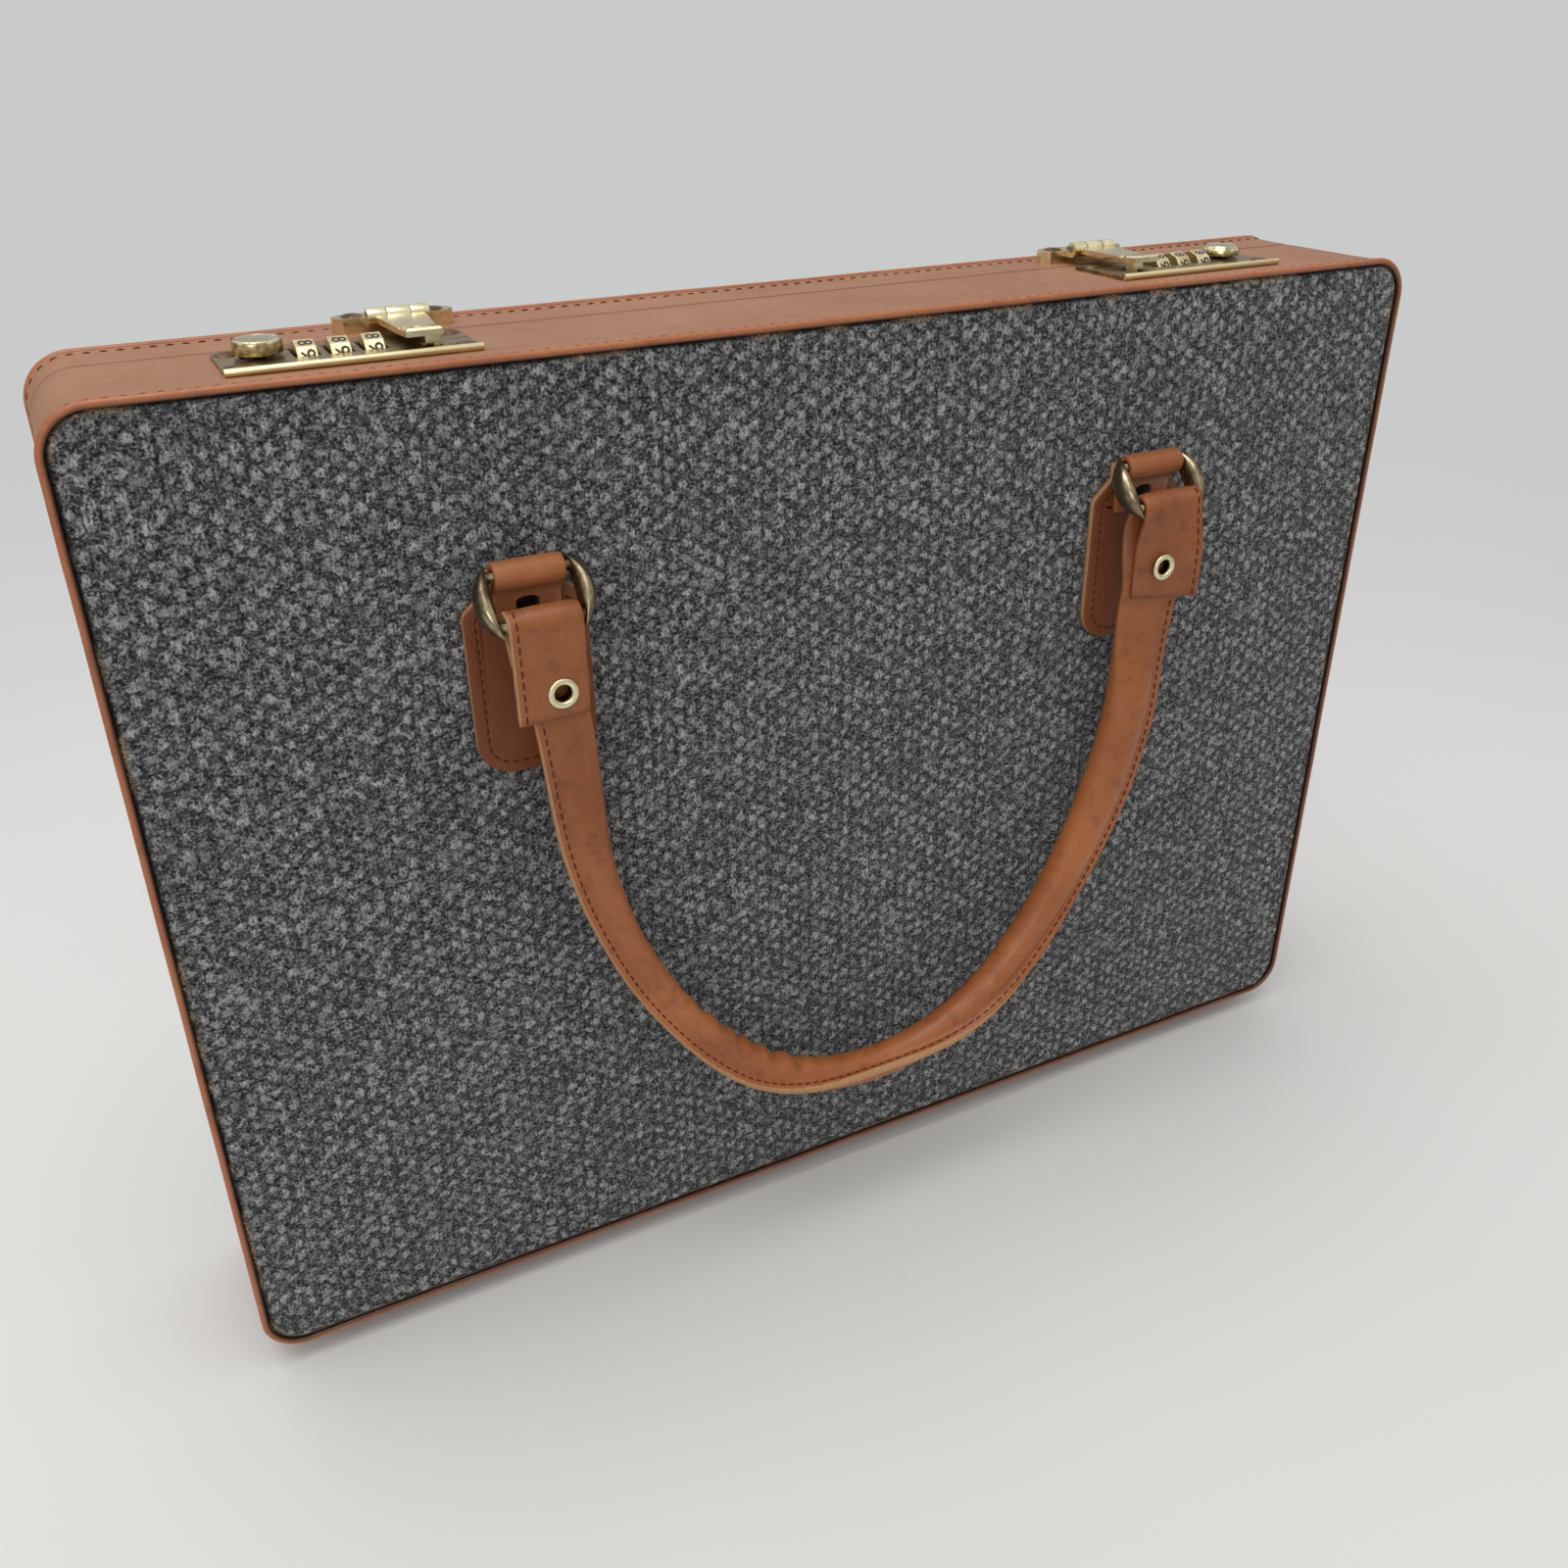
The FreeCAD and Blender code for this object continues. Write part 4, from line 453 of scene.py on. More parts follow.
def leather(name, middle, light, dark, grain, shine, worn, gloss=0.3):
    """Dyed cowhide: the dye takes unevenly over 20 to 60 mm, the grain is a net of fine
    creases, and the surface is wiped with wax, so it is smoother where it is rubbed. A point
    attribute darkens the colour: painted shade on the piping, darker places on band and handles."""
    material, tree, shader = new_material(name, IOR=1.5, Specular_IOR_Level=gloss)
    place = coordinates(tree)
    dye = add_node(tree, "TexNoise", {"Vector": place, "Scale": 1000 / 45, "Detail": 5.0,
                                      "Roughness": 0.6}).outputs[0]
    dye = add_node(tree, "MapRange", {"Value": dye, "From Min": 0.3, "From Max": 0.7}).outputs[0]
    base = add_node(tree, "MixRGB", {"Fac": dye, "Color1": linear(middle),
                                     "Color2": linear(light)}).outputs[0]
    pores = add_node(tree, "TexVoronoi", {"Vector": place, "Scale": 1000 / grain,
                                          "Randomness": 1.0}, feature="DISTANCE_TO_EDGE").outputs[0]
    creases = add_node(tree, "MapRange", {"Value": pores, "From Min": 0.0, "From Max": 0.2,
                                          "To Min": 0.12, "To Max": 0.0}).outputs[0]
    smear = add_node(tree, "TexNoise", {"Vector": place, "Scale": 1000 / 6, "Detail": 6.0,
                                        "Roughness": 0.65}).outputs[0]
    spots = add_node(tree, "MapRange", {"Value": smear, "From Min": 0.52, "From Max": 0.75,
                                        "To Max": worn}).outputs[0]
    base = add_node(tree, "MixRGB", {"Fac": creases, "Color1": base, "Color2": linear(dark)}).outputs[0]
    base = add_node(tree, "MixRGB", {"Fac": spots, "Color1": base, "Color2": linear(dark)}).outputs[0]
    # The colour is darkened towards near-black brown where the attribute says: painted shade on the piping,
    # darker places on the band and handles.
    darkening = add_node(tree, "Attribute", attribute_name="darkening").outputs["Fac"]
    tree.links.new(mixed(tree, darkening, base, "#241009"), shader.inputs["Base Color"])
    polish = add_node(tree, "MapRange", {"Value": smear, "From Min": 0.3, "From Max": 0.7,
                                         "To Min": shine - 0.07, "To Max": shine + 0.09}).outputs[0]
    tree.links.new(polish, shader.inputs["Roughness"])
    hide = add_node(tree, "TexNoise", {"Vector": place, "Scale": 1000 / 0.5, "Detail": 3.0}).outputs[0]
    high = add_node(tree, "Math", {0: pores, 1: 1.4, 2: hide}, operation="MULTIPLY_ADD").outputs[0]
    skin = add_node(tree, "Bump", {"Height": high, "Strength": 0.16, "Distance": 0.1 * MM})
    tree.links.new(skin.outputs[0], shader.inputs["Normal"])
    return material


def soil(item, darkening):
    """Says how far each column of a loft is darkened."""
    attribute = item.data.attributes.new("darkening", "FLOAT", "POINT")
    rows = len(item.data.vertices) // len(darkening)
    attribute.data.foreach_set("value", np.tile(darkening, rows).astype(np.float32))


def waxed_thread(name, colour):
    """Sewing thread: two plies that twist together, dyed and waxed."""
    material, tree, shader = new_material(name, Roughness=0.8, IOR=1.5, Specular_IOR_Level=0.15)
    ply = add_node(tree, "TexNoise", {"Vector": coordinates(tree), "Scale": 1000 / 0.6}).outputs[0]
    two_tone(tree, shader, ply, colour, "#4C2014")
    return material


def stitches(name, runs, material, length, pitch, radius):
    """Separate stitches along polylines. Each run gives its places and the directions that
    point out of the leather, and a stitch is an arched thread with both ends sunk."""
    points, faces = [], []
    arch = ((0.0, -1.1), (0.12, 0.1), (0.35, 0.55), (0.65, 0.55), (0.88, 0.1), (1.0, -1.1))
    for places, outs in runs:
        places = np.asarray(places, float)
        outs = np.asarray(outs, float)
        legs = np.linalg.norm(np.diff(places, axis=0), axis=1)
        along = np.concatenate(([0], np.cumsum(legs)))
        total = along[-1]
        number = int(total / pitch)
        for k in range(number):
            start = (k + 0.5) * total / number - length / 2
            first = len(points)
            for t, lift in arch:
                s = min(max(start + t * length, 0), total)
                middle = np.array([np.interp(s, along, places[:, i]) for i in range(3)])
                out = np.array([np.interp(s, along, outs[:, i]) for i in range(3)])
                out /= np.linalg.norm(out)
                near = min(s + 0.2 * MM, total)
                ahead = np.array([np.interp(near, along, places[:, i]) for i in range(3)])
                behind = np.array([np.interp(max(near - 0.4 * MM, 0), along, places[:, i])
                                   for i in range(3)])
                way = (ahead - behind) / np.linalg.norm(ahead - behind)
                beside = np.cross(way, out)
                for corner in range(6):
                    turn = corner * math.pi / 3
                    spread = beside * math.cos(turn) + out * math.sin(turn)
                    points.append(middle + out * radius * lift + spread * radius)
            for ring in range(len(arch) - 1):
                for corner in range(6):
                    a, b = first + ring * 6 + corner, first + ring * 6 + (corner + 1) % 6
                    faces.append((a, b, b + 6, a + 6))
            faces.append(tuple(first + corner for corner in range(5, -1, -1)))
            faces.append(tuple(first + (len(arch) - 1) * 6 + corner for corner in range(6)))
    return add_mesh(name, points, faces, material)


BAND_INSET = 2.0 * MM
BAND_START = 31.9
STITCH_LINE = 29.2 * MM
band_hide = leather("tan band cowhide", "#8F6143", "#9C7052", "#6A3C24", 1.6, 0.5, 0.16)
band_thread = waxed_thread("dark red waxed thread", "#64291B")


def band_profile(edge):
    """Distances from the case's middle plane, and outwards from the band's face, in mm."""
    return [(BAND_START, -1.3), (BAND_START, 0.1), (31.3, 0.32), (30.3, 0.3), (29.6, 0.05),
            (28.9, 0.0), (28.2, 0.18), (24.0, 0.15), (18.0, 0.02)] + (
                [(8.0, 0.05), (-2.0, 0.0), (-9.0, 0.05)] if edge < 0 else [(15.8, 0.05)]) + [
            (edge + 1.2, 0.0), (edge + 0.45, -0.14), (edge + 0.1, -0.5), (edge, -1.1),
            (edge, -6.9), (edge + 0.25, -7.35), (edge + 0.95, -7.4), (edge + 1.0, -1.45),
            (26.0, -1.4)]


def sweep_round(profile, side, base_inset, step=4 * MM, ripple=0.0):
    """Rows of points of a profile carried round the case's outline."""
    rings = []
    for depth, out in profile:
        inset = base_inset - out * MM
        places, outward = outline(inset, step)
        ring = [(x, side * depth * MM, z) for x, z in places]
        if ripple:
            ring = [Vector(p) + Vector((o[0], 0, o[1])) * ripple * noise.noise(Vector(p) * (1000 / 28))
                    for p, o in zip(ring, outward)]
        rings.append([tuple(p) for p in ring])
    return np.array(rings).transpose(1, 0, 2)


def cut_away(item, cutter):
    """Cuts the cutter's shape out of a piece, and removes the cutter."""
    opening = item.modifiers.new("opening", "BOOLEAN")
    opening.object = cutter
    opening.operation = "DIFFERENCE"
    bpy.context.view_layer.update()
    done = bpy.data.meshes.new_from_object(item.evaluated_get(bpy.context.evaluated_depsgraph_get()))
    item.modifiers.clear()
    item.data = done
    bpy.data.objects.remove(cutter)


def cut_boxes(item, boxes):
    """Cuts straight-sided openings through a piece."""
    for low, high in boxes:
        middle = (Vector(low) + Vector(high)) / 2
        size = Vector(high) - Vector(low)
        bpy.ops.mesh.primitive_cube_add(size=1, location=middle, scale=size)
        cut_away(item, bpy.context.object)


LOCK_BOXES = []
for side in ("left", "right"):
    low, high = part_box(f"lock_case_{side}")
    LOCK_BOXES.append((low - Vector((0.2, 0.2, 0)) * MM, high + Vector((0.2, 0.2, 4)) * MM))

for half, side, edge, body in (("body", -1, -13.2, "case_body"), ("lid", 1, 13.8, "lid")):
    rows = sweep_round(band_profile(edge), side, BAND_INSET, ripple=0.12 * MM)
    band = loft(f"{half}_band_leather", rows, band_hide, round_rows=True)
    # The band is darker on its turned edge at the parting line and on its end beside the piping.
    soil(band, [0.6 if depth < edge + 0.3 else 0.2 if depth < edge + 0.6 else
                0.35 if depth > 31.5 else 0.0 for depth, out in band_profile(edge)])
    tidy_normals(band)
    if half == "body":
        cut_boxes(band, LOCK_BOXES)
    settle(band, body, "band_leather", f"{half}_band")
    places, outward = outline(BAND_INSET, 3 * MM)
    line = [(x, side * STITCH_LINE, z) for x, z in places]
    outs = [(o[0], 0, o[1]) for o in outward]
    sewing = stitches(f"{half}_band_stitches", [(line + line[:1], outs + outs[:1])], band_thread,
                      2.3 * MM, 4.25 * MM, 0.27 * MM)
    settle(sewing, body, "band_leather")

# Piping: a thin cord wrapped in a darker, more orange strip of the same leather, sewn round
# the edge of each large face. Its ends overlap on top, near the left corner.
PIPING_RADIUS = 1.15
PIPING_INSET = 2.15 * MM
piping_hide = leather("orange tan piping leather", "#98552F", "#AB673C", "#542813", 1.1, 0.36, 0.45, 0.5)
PIPING_SIDES = 14
for half, side, body in (("body", -1, "case_body"), ("lid", 1, "lid")):
    profile, darkening = [], []
    for k in range(PIPING_SIDES):
        angle = 2 * math.pi * k / PIPING_SIDES
        profile.append((34 - PIPING_RADIUS + PIPING_RADIUS * math.cos(angle),
                        PIPING_RADIUS * math.sin(angle)))
        # Painted shade: the half of the cord that faces in towards the cloth is darkened.
        darkening.append(min(max((0.05 - math.sin(angle)) / 0.9, 0), 1))
    rows = sweep_round(profile, side, PIPING_INSET, 3 * MM, ripple=0.12 * MM)
    cord = loft(f"{half}_piping_leather", rows, piping_hide, round_rows=True)
    soil(cord, darkening)
    settle(cord, body, "band_leather", f"{half}_piping")

# Linings: brown cotton pasted into both trays, its corners rounded and the cloth a little
# slack over the board.
LINING_INSET = 9.4
cotton, tree, shader = new_material("brown cotton lining", Roughness=0.9, Sheen_Weight=0.1,
                                    Specular_IOR_Level=0.2)
threads = add_node(tree, "TexWave", {"Vector": coordinates(tree), "Scale": 1000 / 9,
                                     "Distortion": 1.5}, bands_direction="DIAGONAL").outputs[0]
two_tone(tree, shader, threads, "#6B4F36", "#7E6045")
weave = add_node(tree, "Bump", {"Height": threads, "Strength": 0.3, "Distance": 0.1 * MM})
tree.links.new(weave.outputs[0], shader.inputs["Normal"])
for half, side, edge, body in (("body", -1, -13.0, "case_body"), ("lid", 1, 14.0, "lid")):
    walls = [(28.9, 0), (edge, 0), (edge, -0.4), (edge + 0.3, -0.75), (20.5, -0.8),
             (26.4, -0.85), (27.5, -1.3), (28.0, -2.4), (28.05, -12)]
    rows = sweep_round(walls, side, LINING_INSET * MM, 6 * MM, ripple=0.12 * MM)
    lining = loft(f"{half}_lining_cloth", rows.transpose(1, 0, 2), cotton, caps=True)
    settle(lining, body, "lining", f"{half}_lining")

# Feet: four domed studs moulded in dark brown plastic, flattened where they stand
def patina(name, fine, first, second, low, high, size, stretch=(1, 1, 1), metal=1.0, depth=0.15):
    """A worn finish: tarnish in soft patches of this size in mm, and fine marks of the tool
    that polished it. The tarnish is rougher than the bare metal."""
    material, tree, shader = new_material(name, Metallic=metal)
    place = coordinates(tree, *stretch)
    clouds = add_node(tree, "TexNoise", {"Vector": place, "Scale": 1000 / size, "Detail": 5.0,
                                         "Roughness": 0.65}).outputs[0]
    spread = add_node(tree, "MapRange", {"Value": clouds, "From Min": 0.38, "From Max": 0.62}).outputs[0]
    two_tone(tree, shader, spread, first, second)
    rough = add_node(tree, "MapRange", {"Value": spread, "To Min": low, "To Max": high}).outputs[0]
    tree.links.new(rough, shader.inputs["Roughness"])
    marks = add_node(tree, "TexNoise", {"Vector": place, "Scale": 1000 / fine, "Detail": 3.0}).outputs[0]
    bump = add_node(tree, "Bump", {"Height": marks, "Strength": depth, "Distance": 0.05 * MM})
    tree.links.new(bump.outputs[0], shader.inputs["Normal"])
    return material


def round_edges(names, width, segments=2):
    """Rounds the edges that a part's tool or polishing wheel leaves."""
    for name in names:
        join = nodes[name].modifiers.new("join", "WELD")
        join.merge_threshold = 0.005 * MM
        edge = nodes[name].modifiers.new("rounded", "BEVEL")
        edge.limit_method = "ANGLE"
        edge.angle_limit = math.radians(30)
        edge.width = width
        edge.segments = segments


plastic = patina("moulded brown plastic", 1.5, "#3A1D14", "#572F20", 0.34, 0.5, 6, metal=0.0)
dress(["body_feet", "lid_feet"], plastic)

# Bottom hinges: two pairs of stamped brass leaves on steel pins, riveted under the case
hinge_brass = patina("rolled hinge brass", 0.4, "#B0965C", "#80693E", 0.3, 0.48, 8)
zinc = patina("zinc-plated steel", 0.3, "#B9B9B6", "#96958F", 0.26, 0.4, 5)
dress(["body_hinge_leaves", "lid_hinge_leaves"], hinge_brass)
dress(["bottom_hinge_pins"], zinc)
round_edges(["body_hinge_leaves", "lid_hinge_leaves"], 0.2 * MM)

# Locks: a folded sheet case under each plate holds the dials' spindle, the bolt and its
# spring. It is painted near black as shade, so the slots beside the dials look black.
shade_dark_sheet = patina("brass sheet painted dark as shade", 0.5, "#4A3F2C", "#2C251A", 0.45, 0.6, 5)
dress(["lock_case_left", "lock_case_right"], shade_dark_sheet)
dress(["bolt_left", "bolt_right", "release_spring_left", "release_spring_right", "dial_spindles"], zinc)

# Latch plates: stamped brass with a rolled front edge, lacquered once and now mottled
plate_brass = patina("aged lacquered brass", 0.35, "#A8956A", "#6F5F40", 0.26, 0.46, 5, (0.4, 1, 1))
dress(["latch_plate_left", "latch_plate_right"], plate_brass)
# The rolled bead is painted paler: rubbed brass, and a painted highlight along it.
BEAD_BACK, BEAD_FRONT = -20.4 * MM, -21.2 * MM
tree = plate_brass.node_tree
shader = tree.nodes["Principled BSDF"]
depth = add_node(tree, "SeparateXYZ", {0: coordinates(tree)}).outputs["Y"]
rubbed = between(tree, depth, BEAD_FRONT, BEAD_BACK, 0.85, 0.0)
tarnish = shader.inputs["Base Color"].links[0].from_socket
tree.links.new(mixed(tree, rubbed, tarnish, "#F0E0AC"), shader.inputs["Base Color"])
round_edges(["latch_plate_left", "latch_plate_right"], 0.18 * MM)

# Rivets: flat copper heads gone brown
old_copper = patina("browned copper", 0.4, "#836548", "#4E3B2A", 0.32, 0.48, 3)
dress(["body_rivets", "lid_rivets"], old_copper)
round_edges(["body_rivets", "lid_rivets"], 0.22 * MM)

# Brackets and hasps: cast brass, polished bright, hinged on a steel pin
bright_brass = patina("polished cast brass", 1.2, "#F6EDC8", "#E0CF9C", 0.14, 0.28, 4, depth=0.4)
dress(["bracket_left", "bracket_right", "hasp_left", "hasp_right"], bright_brass)
round_edges(["bracket_left", "bracket_right"], 0.55 * MM, 3)
round_edges(["hasp_left", "hasp_right"], 0.35 * MM, 3)
dress(["hasp_pins"], zinc)

# Dials: ten-sided brass wheels, one flat for each black number from 0 to 9. They stand at 9.
dial_brass = patina("pale plated brass", 0.6, "#EFE3BA", "#CDBB8A", 0.2, 0.34, 3)
paint_black, tree, shader = new_material("black filling paint", Roughness=0.5)
wear = add_node(tree, "TexNoise", {"Vector": coordinates(tree), "Scale": 1000 / 0.8})
two_tone(tree, shader, wear.outputs[0], "#14120F", "#2B261E")
DIAL_COUNT = 3
DIAL_SIDES = 10
DIGIT_TALL = 5.4 * MM
DIGIT_CLEAR = 0.03 * MM
SHOWN_FLAT = 9


def flat_number(digit, centre, radius, angle):
    """A number's mesh on one flat, its top to the right. The angle is the flat's tilt towards
    the front."""
    curve = bpy.data.curves.new("digit", "FONT")
    curve.body = str(digit)
    curve.size = DIGIT_TALL
    curve.align_x, curve.align_y = "CENTER", "CENTER"
    curve.extrude = DIGIT_CLEAR
    curve.offset = 0.08 * MM
    curve.resolution_u = 3
    text = bpy.data.objects.new("digit", curve)
    bpy.context.scene.collection.objects.link(text)
    bpy.context.view_layer.update()
    mesh = bpy.data.meshes.new_from_object(text)
    out = Vector((0, -math.sin(angle), math.cos(angle)))
    up = Vector((0, math.cos(angle), math.sin(angle)))
    frame_of_flat = Matrix((-up, Vector((1, 0, 0)), out)).transposed().to_4x4()
    frame_of_flat.translation = centre + out * radius
    mesh.transform(frame_of_flat)
    bpy.data.objects.remove(text)
    return mesh


for side in ("left", "right"):
    for number in range(1, DIAL_COUNT + 1):
        name = f"dial_{side}_{number}"
        low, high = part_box(name)
        centre = (Vector(low) + Vector(high)) / 2
        flat_radius = (high[2] - low[2]) / 2 * math.cos(math.pi / DIAL_SIDES)
        points, faces = [], []
        for step in range(DIAL_SIDES):
            angle = math.radians(18 + 36 * step)
            mesh = flat_number((SHOWN_FLAT + step - 1) % 10, centre, flat_radius, angle)
            first = len(points)
            points += [tuple(v.co) for v in mesh.vertices]
            faces += [tuple(first + i for i in polygon.vertices) for polygon in mesh.polygons]
            bpy.data.meshes.remove(mesh)
        digits = add_mesh(f"{name}_numbers", points, faces, paint_black)
        digits.data.shade_flat()
        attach(digits, name)
        dress([name], dial_brass)
        round_edges([name], 0.2 * MM)


# Release knobs: turned brass. The left one has a dished, nickelled top, and the right one has
# twelve flats filed round its edge.
def turned(name, profile, centre, columns, *materials, flats=None):
    """A turned piece from its profile of radii and heights in mm, lowest first."""
    rows = []
    for number, (radius, z) in enumerate(profile):
        row = []
        for column in range(columns):
            angle = 2 * math.pi * column / columns
            reach = radius
            if flats and number in flats:
                half = math.pi / flats[number]
                reach = radius * math.cos(half) / math.cos(angle % (2 * half) - half)
            row.append((centre[0] + reach * MM * math.cos(angle), centre[1] + reach * MM * math.sin(angle),
                        centre[2] + z * MM))
        rows.append(row)
    return loft(name, rows, *materials, caps=True)


mottled_brass = patina("mottled turned brass", 0.3, "#E6D8A8", "#8E7A4E", 0.2, 0.4, 2.0)
nickel = patina("worn nickel on brass", 0.3, "#DDD8C6", "#AFA383", 0.22, 0.38, 3)
LEFT_KNOB = ((1.5, 0), (1.5, 2.6), (3.4, 2.65), (3.4, 3.05), (6.15, 3.1), (6.4, 3.3), (6.5, 3.7),
             (6.5, 5.9), (6.4, 6.35), (6.1, 6.75), (5.8, 6.95), (5.45, 7.0), (5.2, 6.9), (5.0, 6.76),
             (4.4, 6.72), (2.0, 6.75), (0.3, 6.76))
RIGHT_KNOB = ((1.5, 0), (1.5, 2.6), (3.4, 2.65), (3.4, 3.15), (6.1, 3.2), (6.35, 3.4), (6.4, 3.8),
              (6.4, 5.0), (6.3, 5.25), (5.45, 6.2), (5.3, 6.4), (5.0, 6.42), (4.6, 6.25), (2.0, 6.2),
              (0.3, 6.2))
for side, profile, flats in (("left", LEFT_KNOB, None), ("right", RIGHT_KNOB, {8: 12, 9: 12})):
    low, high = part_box(f"knob_{side}")
    foot = ((low[0] + high[0]) / 2, (low[1] + high[1]) / 2, low[2])
    knob = turned(f"knob_{side}_turned", profile, foot, 48, mottled_brass, nickel, flats=flats)
    settle(knob, f"release_{side}", "knob_brass", f"knob_{side}")
    top = high[2] - (0.3 if side == "left" else 0.75) * MM
    kinds = [1 if min(knob.data.vertices[i].co.z for i in face.vertices) > top else 0
             for face in knob.data.polygons]
    knob.data.polygons.foreach_set("material_index", kinds)
    if flats:
        for face in knob.data.polygons:
            heights = [knob.data.vertices[i].co.z - low[2] for i in face.vertices]
            if min(heights) > 5.2 * MM and max(heights) < 6.3 * MM:
                face.use_smooth = False

# Tabs: thick brown cowhide sewn and riveted to each face. A tab narrows to a strap that goes
# up behind the ring's bar, over it and back down in front, where a dark rivet holds its end.
tab_hide = leather("brown tab cowhide", "#68351C", "#7A4527", "#3C1C0F", 1.5, 0.48, 0.2, 0.25)
rubbed_hide = leather("rubbed tab cowhide", "#8C522E", "#A1653B", "#4F2814", 1.5, 0.42, 0.2)
raw_edge, tree, shader = new_material("raw cut leather edge", Roughness=0.85)
fibre = add_node(tree, "TexNoise", {"Vector": coordinates(tree), "Scale": 1000 / 0.7, "Detail": 4.0})
two_tone(tree, shader, fibre.outputs[0], "#8A5A34", "#C69A6E")
pile = add_node(tree, "Bump", {"Height": fibre.outputs[0], "Strength": 0.6, "Distance": 0.2 * MM})
tree.links.new(pile.outputs[0], shader.inputs["Normal"])
tab_thread = waxed_thread("dark brown waxed thread", "#3A1A12")
TAB_HALF, TAB_LOW, TAB_SHOULDER, TAB_NECK, TAB_TOP = 18.5, 205.5, 256.5, 264.0, 268.8
TAB_ROUND = 11.0
TAB_SEWING = 3.5
LOOP_MIDDLE = (40.5, 268.8)
LOOP_RADIUS = 3.15


def tab_outline(loop_half):
    """The tab's outline from the right of its neck down and round to the left, in mm."""
    points = [(loop_half, TAB_TOP), (loop_half, TAB_NECK), (TAB_HALF - 0.8, TAB_SHOULDER + 1),
              (TAB_HALF, TAB_SHOULDER - 0.6)]
    for k in range(9):
        angle = -math.pi / 2 * k / 8
        points.append((TAB_HALF - TAB_ROUND + TAB_ROUND * math.cos(angle),
                       TAB_LOW + TAB_ROUND + TAB_ROUND * math.sin(angle)))
    return points + [(-x, z) for x, z in reversed(points)]


def drawn_in(points, depth):
    """A closed outline drawn in by a depth, its corners kept."""
    points = np.asarray(points, float)
    before, after = np.roll(points, 1, 0), np.roll(points, -1, 0)
    first, second = points - before, after - points
    first /= np.linalg.norm(first, axis=1)[:, None]
    second /= np.linalg.norm(second, axis=1)[:, None]
    inward_first = np.stack((first[:, 1], -first[:, 0]), -1)
    inward_second = np.stack((second[:, 1], -second[:, 0]), -1)
    middle = inward_first + inward_second
    middle /= np.linalg.norm(middle, axis=1)[:, None]
    return points + middle * (depth / (middle * inward_first).sum(1))[:, None]


def smoothed(points, rounds=2):
    """The line with its corners cut, and its ends kept."""
    points = [np.asarray(p, float) for p in points]
    for _ in range(rounds):
        new = [points[0]]
        for a, b in zip(points[:-1], points[1:]):
            new += [a * 0.75 + b * 0.25, a * 0.25 + b * 0.75]
        points = new + [points[-1]]
    return np.array(points)


def strip_rows(line, thick, stations):
    """Rows of a strap: its line of depths and heights, thickened, at each place across."""
    line = np.asarray(line, float)
    way = np.gradient(line, axis=0)
    way /= np.linalg.norm(way, axis=1)[:, None]
    side = np.stack((-way[:, 1], way[:, 0]), -1)
    rows = []
    for x, share, swell in stations:
        half = thick / 2 * share
        outer, inner = line + side * (half + swell), line - side * half
        rows.append([(x, d, z) for d, z in list(outer) + list(inner[::-1])])
    return rows


def across_strap(half, count, swell):
    """Places across a strap with its edges eased."""
    stations = [(-half, 0.72, 0), (-half + 0.35, 0.94, 0)]
    for k in range(count):
        t = (k + 0.5) / count
        stations.append((-half + 0.8 + (2 * half - 1.6) * t, 1.0, swell * math.sin(math.pi * t)))
    return stations + [(half - 0.35, 0.94, 0), (half, 0.72, 0)]


PLATE_STACK = ((33.2, 0.0), (34.6, 0.0), (35.5, 0.0), (35.85, 0.2), (36.0, 0.7), (36.02, 2.6),
               (35.95, 3.2), (35.8, 3.5), (35.95, 3.8), (36.05, 4.6), (36.15, 6.2))
turn = [(LOOP_MIDDLE[0] + LOOP_RADIUS * math.cos(math.radians(a)),
         LOOP_MIDDLE[1] + LOOP_RADIUS * math.sin(math.radians(a))) for a in range(180, -61, -20)]
strap_line = smoothed([(34.9, 259.5), (35.2, 263.0), (36.6, 266.4)] + turn + [
    (39.9, 264.9), (38.1, 262.9), (37.15, 260.9), (37.0, 258.0), (37.0, 255.0), (37.0, 252.6)], 1)
for face, way, body in (("front", -1, "case_body"), ("back", 1, "lid")):
    for side, loop_half in (("left", 10.2), ("right", 11.0)):
        low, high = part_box(f"{face}_tab_{side}")
        across = (low[0] + high[0]) / 2 / MM

        def placed(x, depth, z):
            return ((across + x) * MM, way * depth * MM, z * MM)

        rows = []
        for depth, inset in PLATE_STACK:
            shape = drawn_in(tab_outline(loop_half), inset)
            rows.append([placed(x, depth, z) for x, z in shape])
        plate = loft(f"{face}_tab_{side}_leather", rows, tab_hide, raw_edge, caps=True)
        width = len(rows[0])
        kinds = [1 if number < 2 * width else 0 for number in range(len(plate.data.polygons))]
        plate.data.polygons.foreach_set("material_index", kinds)
        settle(plate, body, "tab_leather", f"{face}_tab_{side}")
        rows = strip_rows(strap_line, 2.1, across_strap(loop_half, 9, 0.12))
        rows = [[placed(*p) for p in row] for row in rows]
        strap = loft(f"{face}_tab_{side}_strap", rows, rubbed_hide, caps=True)
        settle(strap, body, "tab_leather")
        line = drawn_in(tab_outline(loop_half), TAB_SEWING)[1:-1]
        run = [placed(x, 35.8, z) for x, z in line]
        outs = [(0, way, 0)] * len(run)
        sewing = stitches(f"{face}_tab_{side}_stitches", [(run, outs)], tab_thread,
                          2.1 * MM, 3.1 * MM, 0.24 * MM)
        settle(sewing, body, "tab_leather")
black_rivet = patina("blackened steel rivet", 0.4, "#35302B", "#1E1B19", 0.35, 0.5, 3)
dress(["front_tab_rivets", "back_tab_rivets"], black_rivet)
round_edges(["front_tab_rivets", "back_tab_rivets"], 0.25 * MM, 3)

